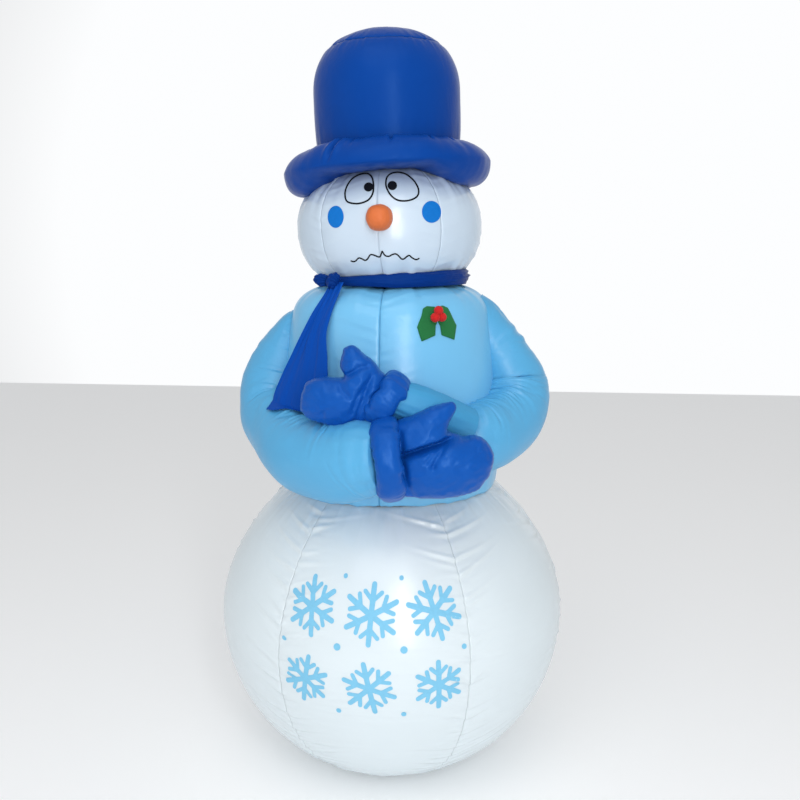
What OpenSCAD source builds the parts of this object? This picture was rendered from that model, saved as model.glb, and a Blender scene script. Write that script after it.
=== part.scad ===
// Inflatable yard snowman. Millimetres, +Z up. The origin is the centre of the base on the
// ground, and the snowman faces -Y, so its own left hand is on +X.

/* [Ball] */
// Radius of the ball at its widest ring
ball_r = 437; // [432:1:440]
// Height of the ball's widest ring
ball_z = 405; // [400:1:408]
// Height at which the ball is sewn to the torso
waist_z = 730; // [728:1:732]

/* [Torso] */
// Radius of the belly at its widest ring
torso_r = 276; // [274:1:278]
// Height of the belly's widest ring
torso_z = 880; // [876:1:884]

/* [Head] */
// Radius of the head at its widest ring
head_r = 226; // [224:1:228]
// Height of the head's widest ring
head_z = 1375; // [1373:1:1377]
// Lean of the head and hat towards the right shoulder, in degrees
head_lean = 2.5; // [2:0.25:3]

/* [Hat] */
// Outer radius of the brim
brim_r = 252.5; // [250:0.5:255]
// Radius of the crown at its widest ring
crown_r = 177; // [175:1:178]
// Height of the crown's widest ring
crown_z = 1680; // [1675:1:1682]
// Height of the crown's dome above that ring
crown_dome_h = 154; // [150:1:156]

/* [Fabric] */
// Thickness of the fabric walls as modelled
skin_t = 2; // [1.8:0.1:2.4]
// Clearance between fabric pieces that rest on each other
rest_gap = 0.6; // [0.5:0.1:0.8]

/* [Zipper] */
// Height of the zipper line on the back panel
zip_z = 430; // [426:1:434]
// Half of the angle that the zipper spans around the ball
zip_half = 16; // [15:1:17]

/* [Blower] */
// Height of the blower's axis
blower_z = 250; // [248:1:252]
// Outer radius of the blower duct
duct_r = 60; // [58:1:60]
// Radius of the motor shaft
shaft_r = 2.5; // [2:0.5:2.5]

/* [Anchors] */
// Hole radius of the stake eyelets
eyelet_r = 6; // [5:0.5:6.5]
// Distance of the eyelets from the centre of the base
eyelet_at = 262; // [258:1:264]
// Radius of the tether rings' round side, to the middle of the wire
ring_r = 18; // [17:1:19]

/* [Hidden] */

$fn = 96;
chain_fn = 20;
blue_light = "#6fb8e6";
blue_royal = "#1f4fae";
blue_mitten = "#2457b8";
white_cloth = "#eef2f8";

// ---------- shapes that repeat ----------

// Radius of a superellipse of half width r and half height h, at dz from its widest ring
function lobe(r, dz, h, n) = r * pow(1 - pow(min(1, abs(dz) / h), n), 1 / n);
function steps(a, b, count) = [for (i = [0:count]) a + (b - a) * i / count];
function reversed(pts) = [for (i = [len(pts) - 1:-1:0]) pts[i]];
// An outline moved by t towards its left side, which is inwards on a profile drawn upwards
function inset(pts, t) = [
    for (i = [0:len(pts) - 1])
        let (d = pts[min(len(pts) - 1, i + 1)] - pts[max(0, i - 1)])
            let (p = pts[i] + t * [-d[1], d[0]] / norm(d)) [max(0, p[0]), p[1]]
];

// A closed panel of revolution between an outline and its inset, from angle a over a span
module gore(pts, a, span) {
    rotate([0, 0, a]) rotate_extrude(angle=span) polygon(concat(pts, reversed(inset(pts, skin_t))));
}
module about(pts) { rotate_extrude() polygon(concat(pts, reversed(inset(pts, skin_t)))); }
// A solid of revolution inside an outline that is moved outwards by grow
module filled(pts, grow) {
    grown = inset(pts, -grow);
    rotate_extrude() polygon(concat([[0, grown[0][1]]], grown, [[0, grown[len(grown) - 1][1]]]));
}
// A chain of balls, each [x, y, z, radius], joined two by two
module chain(balls, grow=0) {
    for (i = [0:len(balls) - 2]) hull() for (b = [balls[i], balls[i + 1]])
        translate([b[0], b[1], b[2]]) sphere(r=b[3] + grow, $fn=chain_fn);
}
// A puffy ring of tube radius r about its own X axis, placed by place and turned by turn
module puffy_ring(place, turn, ring, tube, grow=0) {
    count = 14;
    translate(place) rotate(turn) for (i = [0:count - 1]) hull() for (a = [i, i + 1] * 360 / count)
        rotate([a, 0, 0]) translate([0, 0, ring]) sphere(r=tube + grow, $fn=14);
}

// ---------- outlines ----------

ball_low_h = 450;
ball_top_h = 420;
function ball_edge(z) = z < ball_z ? lobe(ball_r, z - ball_z, ball_low_h, 2)
    : lobe(ball_r, z - ball_z, ball_top_h, 1.8);
ball_pts = [for (z = concat(steps(0, ball_z, 13), steps(ball_z + 25, waist_z, 11))) [ball_edge(z), z]];

hem_roll = 9;
hem_z = waist_z + 8;
shoulder = [142, 1152];
shoulder_a = 105;
shoulder_b = 77;
function belly_low(z) = lobe(torso_r, z - torso_z, 375, 2.5);
function belly_high(z) = torso_r - 30 * pow((z - torso_z) / (shoulder[1] - torso_z), 1.6);
torso_pts = concat(
    [for (a = [-100:25:-25]) [belly_low(hem_z) - hem_roll, hem_z] + hem_roll * [cos(a), sin(a)]],
    [for (z = steps(hem_z, torso_z, 5)) [belly_low(z), z]],
    [for (z = steps(torso_z + 40, shoulder[1] - 20, 6)) [belly_high(z), z]],
    [for (a = [0:10:90]) shoulder + [shoulder_a * cos(a), shoulder_b * sin(a)]]
);

neck_z = 1237;
head_top_z = 1468;
function head_edge(z) = z < head_z ? lobe(head_r, z - head_z, 165, 2.5)
    : lobe(head_r, z - head_z, 150, 2.1);
head_pts = [for (z = concat(steps(neck_z, head_z, 10), steps(head_z + 20, head_top_z, 5)))
    [head_edge(z), z]];

brim_mid = [205, 1509];
brim_a = brim_r - brim_mid[0];
brim_up = 62;
brim_down = 40;
crown_base_z = 1553;
crown_low_h = 240;
crown_seam_z = crown_z + 118;
function crown_edge(z) = z < crown_z ? lobe(crown_r, z - crown_z, 290, 3)
    : lobe(crown_r, z - crown_z, crown_dome_h, 2.3);
seam_gap = 0.4;
brim_low_pts = concat([[head_edge(head_top_z), brim_mid[1] - brim_down - seam_gap]],
    [for (a = [-90:10:0]) brim_mid + [brim_a * cos(a), brim_down * sin(a) - seam_gap]]);
// The outer half of the brim's top is flatter than an ellipse, over a short upright lip
brim_lip = 2;
brim_top_pts = concat([brim_mid + [brim_a, 0]],
    [for (a = [0:10.3:89]) brim_mid + [brim_a * pow(cos(a), 1.4), brim_lip + (brim_up - brim_lip) * pow(sin(a), 1.4)]],
    [for (a = [92.7:10.3:134]) brim_mid + [brim_a * cos(a), brim_up * sin(a)]]);
crown_side_pts = [for (z = concat(steps(crown_base_z, crown_z, 5), steps(crown_z + 30, crown_seam_z - seam_gap, 5)))
    [crown_edge(z), z]];
crown_top_pts = [for (a = [0:11.25:90])
    let (z = crown_seam_z + (crown_z + crown_dome_h - crown_seam_z) * sin(a)) [crown_edge(z), z]];

// Part of the head's lean that the crown keeps
crown_part = 0.6;
// Tilts what it holds with the head and hat
module leaning(part=1) {
    translate([0, 0, neck_z]) rotate([0, -head_lean * part, 0]) translate([0, 0, -neck_z]) children();
}

// ---------- arms, as chains of balls ----------

right_arm = [
    [-214, -8, 1130, 46], [-240, -8, 1106, 50], [-268, -28, 1045, 74], [-286, -60, 974, 86],
    [-278, -112, 912, 84], [-228, -200, 874, 83], [-165, -280, 851, 89], [-80, -337, 851, 90],
    [-22, -366, 868, 84]
];
left_arm = [
    [200, -8, 1140, 70], [240, -8, 1106, 62], [276, -8, 1042, 76], [302, -22, 974, 88],
    [294, -76, 917, 85], [254, -148, 891, 81], [224, -196, 888, 77], [208, -226, 898, 62]
];
left_forearm = [
    [196, -258, 925, 42], [184, -268, 931, 42], [172, -278, 938, 42], [160, -287, 945, 42],
    [146, -296, 953, 42], [122, -310, 966, 42], [104, -317, 975, 42], [88, -323, 981, 42], [72, -328, 987, 41]
];
right_hand = [
    [70, -384, 874, 64], [112, -378, 868, 70], [158, -370, 862, 73], [200, -358, 858, 67],
    [230, -347, 858, 49]
];
right_thumb = [[88, -388, 914, 40], [122, -384, 948, 33], [150, -380, 974, 24], [162, -378, 985, 19]];
left_hand = [
    [14, -335, 1002, 42], [-22, -335, 1002, 46], [-62, -334, 996, 48], [-102, -330, 992, 49],
    [-138, -322, 990, 42], [-150, -318, 990, 36]
];
left_thumb = [[-4, -334, 1026, 34], [-24, -336, 1056, 30], [-42, -338, 1084, 25], [-52, -338, 1094, 20]];
right_cuff = [[31, -379, 874], [0, -5, -4], 70, 30];
left_cuff = [[46, -336, 998], [0, 12, 14], 35, 25];
armhole_r = 40;
armhole_at = [255, -8, 1100];
// The air way from the left upper sleeve into its narrower forearm
forearm_way = [[212, -226, 896, 30], [160, -286, 946, 30]];

module torso_form(grow=0) { filled(torso_pts, grow); }
module right_cuff_form(grow=0) { puffy_ring(right_cuff[0], right_cuff[1], right_cuff[2], right_cuff[3], grow); }
module left_cuff_form(grow=0) { puffy_ring(left_cuff[0], left_cuff[1], left_cuff[2], left_cuff[3], grow); }
// The air way along a cuff's axis, through the sleeve's end and the mitten's wrist
module cuff_way(cuff) {
    reach = 50;
    translate(cuff[0]) rotate(cuff[1]) rotate([0, 90, 0]) translate([0, 0, -reach])
        cylinder(r=cuff[2] - cuff[3] * 0.4, h=2 * reach, $fn=32);
}
module armhole() { translate([0, armhole_at[1], armhole_at[2]]) rotate([0, 90, 0]) children(); }

// ---------- ball, torso, head and hat ----------

module base_panel() color("#3a3f47") rotate_extrude()
    polygon([[0, 0], ball_pts[0], inset(ball_pts, skin_t)[0], [0, inset(ball_pts, skin_t)[0][1]]]);

module ball_panel(turn) color(white_cloth) gore(ball_pts, turn, 60);
module ball_back_panel() color(white_cloth) difference() {
    gore(ball_pts, 60, 60);
    translate([0, 0, blower_z]) rotate([-90, 0, 0]) cylinder(r=duct_r + 4, h=500);
    translate([0, 0, zip_z - 6]) rotate([0, 0, 90 - zip_half]) rotate_extrude(angle=2 * zip_half)
        translate([420, 0]) square([30, 12]);
}

module torso_panel(turn) color(blue_light) difference() {
    gore(torso_pts, turn, 90);
    armhole() translate([0, 0, -400]) cylinder(r=armhole_r, h=800);
}

module head_panel(turn, span) color(white_cloth) leaning() gore(head_pts, turn, span);
module head_back_panels() color(white_cloth) leaning()
    for (a = [0, 45, 90, 135]) gore(head_pts, a, 45);

module hat_brim_lower() color(blue_royal) leaning() about(brim_low_pts);
module hat_brim_upper() color(blue_royal) leaning() about(brim_top_pts);
module hat_crown_side() color(blue_royal) leaning(crown_part) about(crown_side_pts);
module hat_crown_top() color(blue_royal) leaning(crown_part) about(crown_top_pts);

// ---------- arms and mittens ----------

// A hollow skin between a chain and its inset, kept clear of the torso
module sleeve(balls) {
    difference() {
        chain(balls);
        torso_form(rest_gap);
        difference() {
            chain(balls, -skin_t);
            torso_form(rest_gap + skin_t);
        }
        armhole() translate([0, 0, -armhole_at[0]]) cylinder(r=armhole_r, h=2 * armhole_at[0], $fn=32);
        children();
    }
}
module right_sleeve() color(blue_light) sleeve(right_arm) {
    right_cuff_form(rest_gap);
    cuff_way(right_cuff);
}
module left_sleeve() color(blue_light) sleeve(left_arm) chain(forearm_way);
module left_inner_sleeve() color("#5fa9d3") sleeve(left_forearm) {
    chain(left_arm, rest_gap);
    chain(forearm_way);
    left_cuff_form(rest_gap);
    cuff_way(left_cuff);
}
module right_mitten_cuff() color(blue_mitten) difference() {
    right_cuff_form();
    right_cuff_form(-skin_t);
    cuff_way(right_cuff);
    torso_form(rest_gap);
}
module left_mitten_cuff() color(blue_mitten) difference() {
    left_cuff_form();
    left_cuff_form(-skin_t);
    cuff_way(left_cuff);
    torso_form(rest_gap);
    right_cuff_form(rest_gap);
    chain(right_arm, rest_gap);
}
module mitten(hand, thumb) {
    difference() {
        union() {
            chain(hand);
            chain(thumb);
        }
        torso_form(rest_gap);
        difference() {
            union() {
                chain(hand, -skin_t);
                chain(thumb, -skin_t);
            }
            torso_form(rest_gap + skin_t);
        }
        children();
    }
}
module right_mitten() color(blue_mitten) mitten(right_hand, right_thumb) {
    cuff_way(right_cuff);
    right_cuff_form(rest_gap);
    chain(right_arm, rest_gap);
    chain(left_arm, rest_gap);
    chain(left_forearm, rest_gap);
    left_cuff_form(rest_gap);
}
module left_mitten() color(blue_mitten) mitten(left_hand, left_thumb) {
    cuff_way(left_cuff);
    left_cuff_form(rest_gap);
    chain(left_forearm, rest_gap);
    right_cuff_form(rest_gap);
    chain(right_arm, rest_gap);
}

// ---------- scarf ----------

module scarf_neck_band() color(blue_royal) leaning(0.5) rotate_extrude()
    polygon([[165, 1236.5], [186, 1231.5], [191, 1233], [194, 1243], [192, 1256], [187.5, 1257], [176, 1246]]);

knot_at = [-138, -172, 1240];
module scarf_knot() color(blue_royal) {
    translate(knot_at) rotate([0, 0, 51]) {
        sphere(r=22);
        translate([0, 0, 4]) rotate([0, -78, 0]) cylinder(r1=10, r2=15, h=30);
    }
}

// Middle line of the tail, [x, y, z, half width], with its width along X
tail_line = [
    [-130, -206, 1212, 18], [-138, -228, 1186, 22], [-148, -246, 1156, 27], [-160, -257, 1124, 33],
    [-172, -263, 1092, 39], [-184, -263, 1062, 43], [-198, -259, 1032, 46], [-212, -252, 1004, 46],
    [-224, -244, 980, 46], [-232, -235, 962, 44]
];
module tail_bar(p) {
    for (s = [-1, 1]) translate([p[0] + s * p[3], p[1] - s * p[3] * 0.45, p[2]]) sphere(r=5, $fn=12);
}
module scarf_tail() color(blue_royal) difference() {
    for (i = [0:len(tail_line) - 2]) hull() {
        tail_bar(tail_line[i]);
        tail_bar(tail_line[i + 1]);
    }
    torso_form(rest_gap);
    chain(right_arm, rest_gap);
    chain(left_hand, rest_gap);
}

// ---------- nose and holly ----------

nose_r = 29;
nose_len = 42;
module nose() color("#ee6c33") leaning() translate([0, -head_r - rest_gap, 1385]) rotate([90, 0, 0])
    rotate_extrude() polygon(concat([[0, 0]],
        [for (a = [0:7.5:90]) [nose_r * pow(cos(a), 0.75), nose_len * sin(a)]]));

holly_turn = -57.5;
holly_z = 1152;
leaf_pts = [
    [-1, 34], [-17, 36], [-27, 31], [-34, 12], [-43, -9], [-40, -24], [-36, -41], [-7, -29], [-5, -7], [-1, 0]
];
module holly_leaves() color("#1d8a3e") intersection() {
    difference() {
        filled(torso_pts, 3);
        filled(torso_pts, rest_gap);
    }
    rotate([0, 0, holly_turn]) translate([0, 0, holly_z]) rotate([90, 0, 90])
        linear_extrude(400) for (s = [0, 1]) mirror([s, 0]) polygon(leaf_pts);
}
berry_r = 10.4;
module holly_berries() color("#c81414") rotate([0, 0, holly_turn])
    for (p = [[262.5, 0, 1183.5], [266.5, -10.8, 1165], [266.5, 10.8, 1165]]) translate(p) sphere(r=berry_r, $fn=40);

// ---------- zipper ----------

tape_r = ball_r + 0.4;
tape_t = 1.4;
coil_w = 3;
zip_gap = 0.5;
slider_angle = 90 + zip_half - 2.2;
// A strip of revolution about Z from angle a over a span: radii from r over w, heights from z over h
module strip(a, span, r, w, z, h) {
    rotate([0, 0, a]) rotate_extrude(angle=span) translate([r, zip_z + z]) square([w, h]);
}
module zipper_tapes() color("#dfe5ec") for (z = [zip_gap + 1, -zip_gap - 1 - 14])
    strip(90 - zip_half - 0.6, 2 * zip_half + 1.2, tape_r, tape_t, z, 14);
module zipper_teeth() color("#cfd6de") for (z = [zip_gap, -zip_gap - coil_w])
    strip(90 - zip_half, 2 * zip_half, tape_r + tape_t, 2.4, z, coil_w);
module zipper_stops() color("#9aa3ad") for (a = [90 - zip_half - 0.5, 90 + zip_half + 0.1])
    strip(a, 0.4, tape_r + tape_t, 2.8, -4, 8);
plate_r = tape_r + tape_t + 2.8;
pin_r = 0.9;
pin_at = plate_r + 5.4;
module zipper_slider() color("#b9c0c8") {
    strip(slider_angle - 1, 2, plate_r, 2.2, -6, 12);
    strip(slider_angle - 1, 2, tape_r - 3, 2.4, -5, 10);
    strip(slider_angle - 0.4, 0.8, tape_r - 1, plate_r - tape_r + 1.5, -0.35, 0.7);
    rotate([0, 0, slider_angle]) {
        for (z = [-4.4, 3.2]) translate([plate_r + 1.5, -1.6, zip_z + z]) cube([pin_at - plate_r, 3.2, 1.2]);
        translate([pin_at, 0, zip_z - 4.2]) cylinder(r=pin_r, h=8.4);
    }
}
pull_len = 26;
module zipper_pull() color("#b9c0c8") rotate([0, 0, slider_angle]) translate([pin_at, 0, zip_z - 3]) difference() {
    union() {
        cylinder(r=2.2, h=6);
        translate([-0.8, -pull_len, 0]) cube([1.6, pull_len, 6]);
    }
    translate([0, 0, -1]) cylinder(r=pin_r + 0.08, h=8);
    translate([-2, -pull_len + 3, 1.6]) cube([4, 12, 2.8]);
}

// ---------- blower, about an axis along Y ----------

duct_in = 345;
duct_out = 438;
duct_wall = 2.5;
motor_r = 19;
motor_back = duct_in + 6;
motor_len = 40;
shaft_fit = 0.05;
hub_r = 20;
hub_len = 16;
hub_y = motor_back + motor_len + 6;
blade_r = duct_r - duct_wall - 3;
screw_at = duct_r + 4.5;
// Puts what is built along +Z onto the blower's axis, starting at y
module on_axis(y) { translate([0, y, blower_z]) rotate([-90, 0, 0]) children(); }
module tube(r_out, r_in, h) {
    difference() {
        cylinder(r=r_out, h=h);
        translate([0, 0, -1]) cylinder(r=r_in, h=h + 2);
    }
}
module four_around(r) { for (a = [45:90:315]) rotate([0, 0, a]) translate([r, 0, 0]) children(); }

module blower_duct() color("#23262b") difference() {
    union() {
        on_axis(duct_in) cylinder(r=duct_r, h=duct_out - duct_in);
        on_axis(duct_out - 5) cylinder(r=duct_r + 9, h=5);
        translate([0, light_route[0][1], blower_z + duct_r - 1]) cylinder(r=4.5, h=gland_h + 1);
    }
    on_axis(duct_in - 1) cylinder(r=duct_r - duct_wall, h=duct_out - duct_in + 2);
    on_axis(duct_out - 6) four_around(screw_at) cylinder(r=1.55, h=8);
}
// The cloth sleeve that ties the back panel to the duct
module blower_collar() color(white_cloth) on_axis(duct_in + 29) tube(duct_r + 3.2, duct_r + 0.4, duct_out - duct_in - 56);
module blower_intake_grille() color("#2b2e34") on_axis(duct_out) difference() {
    union() {
        tube(duct_r + 9, duct_r - 6, 3);
        for (r = [12:10:52]) tube(r + 1, r - 1, 2.4);
        for (a = [0:45:135]) rotate([0, 0, a]) translate([-duct_r + 4, -1.2, 0]) cube([2 * duct_r - 8, 2.4, 3]);
        cylinder(r=8, h=3);
    }
    four_around(screw_at) translate([0, 0, -1]) cylinder(r=1.7, h=6);
}
module blower_screws() color("#9aa0a6") on_axis(duct_out) four_around(screw_at) {
    translate([0, 0, -5]) cylinder(r=1.5, h=8);
    translate([0, 0, 3]) cylinder(r=3, h=1.8);
}
module blower_motor_mount() color("#23262b") on_axis(duct_in + 1) {
    tube(duct_r - duct_wall, duct_r - duct_wall - 3, 5);
    tube(motor_r, 7.5, 5);
    for (a = [0:60:300]) rotate([0, 0, a]) translate([motor_r - 1, -1.5, 0])
        cube([duct_r - duct_wall - motor_r - 1, 3, 5]);
}
module motor_case() color("#8d949c") on_axis(motor_back) difference() {
    cylinder(r=motor_r, h=motor_len);
    translate([0, 0, 5]) cylinder(r=motor_r - 1.5, h=motor_len - 10);
    translate([0, 0, -1]) cylinder(r=6, h=motor_len + 2);
}
module motor_stator() color("#b8743a") on_axis(motor_back + 8) tube(motor_r - 1.5, 12, motor_len - 16);
module motor_rotor() color("#5b6068") on_axis(motor_back + 8) tube(11.5, shaft_r, motor_len - 16);
module motor_shaft() color("#c9ced4") on_axis(motor_back - 3) cylinder(r=shaft_r, h=hub_y + hub_len - motor_back + 3);
module motor_bearings() color("#a7adb5") for (y = [motor_back, motor_back + motor_len - 5])
    on_axis(y) tube(6, shaft_r + shaft_fit, 5);
module impeller() color("#3b3f46") on_axis(hub_y) difference() {
    union() {
        cylinder(r=hub_r, h=hub_len);
        for (a = [0:360 / 7:359]) rotate([0, 0, a]) translate([hub_r - 2, 0, 8]) rotate([38, 0, 0])
            translate([0, -11, -0.9]) cube([blade_r - hub_r, 22, 1.8]);
    }
    translate([0, 0, -1]) cylinder(r=hub_r - 2.5, h=hub_len - 3);
    translate([0, 0, -1]) cylinder(r=shaft_r, h=hub_len + 2);
}
module power_inlet() color("#15171a") translate([0, duct_out - 26, blower_z - duct_r - 9.5]) difference() {
    translate([-7, 0, 0]) cube([14, 20, 9.5]);
    translate([0, 21, 4.6]) rotate([90, 0, 0]) cylinder(r=2.8, h=11);
}

// ---------- lights inside ----------

// Route of the light string, from the motor mount up to the crown
gland_h = 6;
light_route = [
    [0, 352, 316.2], [0, 352, 330], [3, 362, 352], [4, 380, 382], [0, 394, 430], [-4, 396, 480],
    [0, 378, 540], [4, 346, 600], [4, 290, 670], [0, 222, 735], [-4, 226, 800], [0, 240, 880],
    [4, 236, 980], [0, 224, 1080], [-4, 206, 1160], [-2, 168, 1205], [0, 126, 1236],
    [-2, 150, 1270], [-8, 192, 1340], [-10, 190, 1430], [-14, 150, 1540]
];
cord_d = 4;
function curve_at(p, t) = let (n = len(p) - 1, i = min(floor(t), n - 1), f = t - i,
    a = p[max(0, i - 1)], b = p[i], c = p[i + 1], d = p[min(n, i + 2)])
    0.5 * (2 * b + (c - a) * f + (2 * a - 5 * b + 4 * c - d) * f * f + (3 * b - a - 3 * c + d) * f * f * f);
function unit(v) = v / norm(v);
module cord(route, d, rings, sides=8) {
    line = [for (i = [0:rings]) curve_at(route, i * (len(route) - 1) / rings)];
    pts = [for (i = [0:rings]) let (t = unit(line[min(rings, i + 1)] - line[max(0, i - 1)]),
        u = unit(cross([1, 0, 0], t)), v = cross(t, u))
        for (k = [0:sides - 1]) line[i] + d / 2 * (u * cos(360 * k / sides) + v * sin(360 * k / sides))];
    walls = [for (i = [0:rings - 1]) for (k = [0:sides - 1]) let (a = i * sides, b = a + sides, m = (k + 1) % sides)
        [a + k, b + k, b + m, a + m]];
    polyhedron(pts, concat(walls, [[for (k = [0:sides - 1]) k]], [[for (k = [sides - 1:-1:0]) rings * sides + k]]));
}
module light_cord() color("#2d6b3a") cord(light_route, cord_d, 64);

// Places of the lamps, each a point of the route
lamps = [3, 5, 7, 11, 13, 18, 20];
socket_r = 5;
socket_len = 14;
// How far a socket's back stands from the cord's middle, which leans at a slope there
function socket_back(i) = let (n = len(light_route) - 1,
    t = light_route[min(n, i + 1)] - light_route[i - 1], s = abs(t[1] / t[2]))
    cord_d / 2 * sqrt(1 + s * s) + socket_r * s + 1.2;
module at_lamps() { for (i = lamps) translate(light_route[i] - [0, socket_back(i) + socket_len, 0]) children(); }
module light_sockets() color("#1f4d2a") at_lamps() rotate([-90, 0, 0]) cylinder(r=socket_r, h=socket_len);
module light_lenses() color("#f4f6ff") at_lamps() {
    rotate([90, 0, 0]) cylinder(r=4, h=10);
    translate([0, -10, 0]) sphere(r=4, $fn=32);
}
// Ribbons that hold the cord to the back wall, [point of the route, wall's radius there]
ribbons = [
    [4, ball_edge(light_route[4][2])], [6, ball_edge(light_route[6][2])],
    [8, ball_edge(light_route[8][2])], [11, belly_low(light_route[11][2])],
    [12, belly_high(light_route[12][2])], [13, belly_high(light_route[13][2])]
];
module light_tabs() color("#c9d2dc") for (r = ribbons)
    translate(light_route[r[0]] + [-6, cord_d / 2 + 0.3, -0.6])
        cube([12, r[1] - 2 * skin_t - light_route[r[0]][1] - cord_d / 2, 1.2]);

// ---------- anchors ----------

stake_angles = [20, 70, 110, 160];
tab_t = 2.4;
tab_from = ball_edge(tab_t) + 0.5;
module stake_tabs() color("#22252a") for (a = stake_angles) rotate([0, 0, a]) difference() {
    translate([tab_from, -14, 0]) cube([eyelet_at + 16 - tab_from, 28, tab_t]);
    translate([eyelet_at, 0, -1]) cylinder(r=eyelet_r + 2, h=tab_t + 2);
}
module stake_eyelets() color("#b9bfc6") for (a = stake_angles) rotate([0, 0, a]) translate([eyelet_at, 0, 0]) {
    tube(eyelet_r + 2, eyelet_r, tab_t + 1.2);
    translate([0, 0, tab_t]) tube(eyelet_r + 4.5, eyelet_r, 1.2);
}

tether_x = 112;
tether_y = 266;
tether_z = 1062;
wire_r = 2.1;
module tether_tabs() color("#22252a") difference() {
    for (s = [-1, 1]) translate([s * tether_x, tether_y, tether_z]) difference() {
        union() {
            translate([-12.5, 0, 0]) rotate([0, 90, 0]) cylinder(r=wire_r + 1.6, h=25);
            translate([-12.5, -40, -1.5]) cube([25, 40, 3]);
        }
        translate([-13.5, 0, 0]) rotate([0, 90, 0]) cylinder(r=wire_r + 0.08, h=27);
    }
    torso_form(0.1);
}
module tether_ring(s) color("#b9bfc6") translate([s * tether_x, tether_y, tether_z]) {
    translate([-ring_r, 0, 0]) rotate([0, 90, 0]) cylinder(r=wire_r, h=2 * ring_r);
    rotate([-90, 0, 0]) rotate_extrude(angle=180) translate([ring_r, 0]) circle(r=wire_r, $fn=24);
    for (e = [-1, 1]) translate([e * ring_r, 0, 0]) sphere(r=wire_r, $fn=24);
}

base_panel();
ball_panel(240);  // ball_front_panel
ball_panel(300);  // ball_front_left_panel
ball_panel(0);  // ball_back_left_panel
ball_back_panel();
ball_panel(120);  // ball_back_right_panel
ball_panel(180);  // ball_front_right_panel
torso_panel(180);  // torso_front_right_panel
torso_panel(270);  // torso_front_left_panel
torso_panel(0);  // torso_back_left_panel
torso_panel(90);  // torso_back_right_panel
head_panel(232, 38);  // face_right_panel
head_panel(270, 38);  // face_left_panel
head_panel(308, 52);  // head_left_panel
head_panel(180, 52);  // head_right_panel
head_back_panels();
hat_brim_lower();
hat_brim_upper();
hat_crown_side();
hat_crown_top();
right_sleeve();
right_mitten_cuff();
right_mitten();
left_sleeve();
left_inner_sleeve();
left_mitten_cuff();
left_mitten();
scarf_neck_band();
scarf_knot();
scarf_tail();
nose();
holly_leaves();
holly_berries();
zipper_tapes();
zipper_teeth();
zipper_stops();
zipper_slider();
zipper_pull();
blower_duct();
blower_collar();
blower_intake_grille();
blower_motor_mount();
motor_case();
motor_stator();
motor_rotor();
motor_shaft();
motor_bearings();
impeller();
blower_screws();
power_inlet();
light_cord();
light_sockets();
light_lenses();
light_tabs();
stake_tabs();
stake_eyelets();
tether_tabs();
tether_ring(-1);  // tether_ring_right
tether_ring(1);  // tether_ring_left
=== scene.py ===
# Looks of an inflatable yard snowman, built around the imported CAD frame. Metres, +Z up, facing -Y.
import math

import bpy
import bmesh
import numpy as np
from mathutils import Matrix, Vector
from mathutils.bvhtree import BVHTree
from mathutils.geometry import delaunay_2d_cdt


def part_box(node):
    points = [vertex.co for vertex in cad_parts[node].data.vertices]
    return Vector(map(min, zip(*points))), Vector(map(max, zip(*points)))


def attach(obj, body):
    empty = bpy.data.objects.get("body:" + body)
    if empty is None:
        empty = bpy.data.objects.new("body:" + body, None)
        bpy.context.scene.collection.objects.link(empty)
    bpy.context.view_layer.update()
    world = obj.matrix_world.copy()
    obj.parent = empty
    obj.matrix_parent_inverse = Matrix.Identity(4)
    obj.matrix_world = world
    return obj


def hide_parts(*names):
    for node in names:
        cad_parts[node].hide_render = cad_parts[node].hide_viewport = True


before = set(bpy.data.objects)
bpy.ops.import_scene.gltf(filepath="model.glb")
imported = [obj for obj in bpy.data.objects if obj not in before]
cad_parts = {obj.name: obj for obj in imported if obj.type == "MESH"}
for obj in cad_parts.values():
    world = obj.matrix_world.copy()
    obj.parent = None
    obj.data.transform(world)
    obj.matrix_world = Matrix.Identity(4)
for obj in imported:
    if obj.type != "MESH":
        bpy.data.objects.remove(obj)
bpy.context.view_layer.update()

scene = bpy.context.scene
MM = 0.001
FRONT = -90.0  # angle about Z that faces the camera, in degrees
BACK = 90.0


# ---------- camera, light and floor ----------

CAMERA_FAR = 2.3
CAMERA_SIDE = 0.02
CAMERA_HEIGHT = 1.33
CAMERA_YAW = math.radians(6.0)
CAMERA_PITCH = math.radians(9.75)
SENSOR = 36.0
LENS = 41.2
# Brightness of the surroundings from behind the camera (0) through the sides (0.5) to the wall (1)
ROOM = [(0.0, 0.66), (0.5, 0.50), (0.87, 0.55), (0.95, 1.0)]
# Name, place, target, width and height, and power in watts. The tall narrow strip beside the camera
# draws the upright streak of light on the cloth.
LAMPS = [("strip", (0.8, -2.89, 1.7), (0, 0, 1.1), (0.28, 2.2), 30),
         ("overhead", (0, -2.0, 3.9), (0, 0, 0.7), (2.6, 2.6), 32),
         ("fill", (-2.8, -2.0, 1.3), (0, 0, 0.9), (1.6, 2.2), 4),
         ("front", (-0.4, -4.6, 2.3), (0, 0, 0.7), (3.2, 1.8), 9)]
FLOOR_HALF = 6.0
FLOOR_GLOW = 0.09


def add_camera():
    """The photograph's camera, solved from the arcs of the foot, the hem, the brim and the crown."""
    data = bpy.data.cameras.new("camera")
    camera = bpy.data.objects.new("camera", data)
    scene.collection.objects.link(camera)
    across = Vector((math.cos(CAMERA_YAW), math.sin(CAMERA_YAW), 0))
    ahead = Vector((-math.sin(CAMERA_YAW), math.cos(CAMERA_YAW), 0))
    camera.location = across * CAMERA_SIDE - ahead * CAMERA_FAR + Vector((0, 0, CAMERA_HEIGHT))
    camera.rotation_euler = (math.pi / 2 - CAMERA_PITCH, 0, CAMERA_YAW)
    data.sensor_width = SENSOR
    data.lens = LENS
    scene.camera = camera


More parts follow.
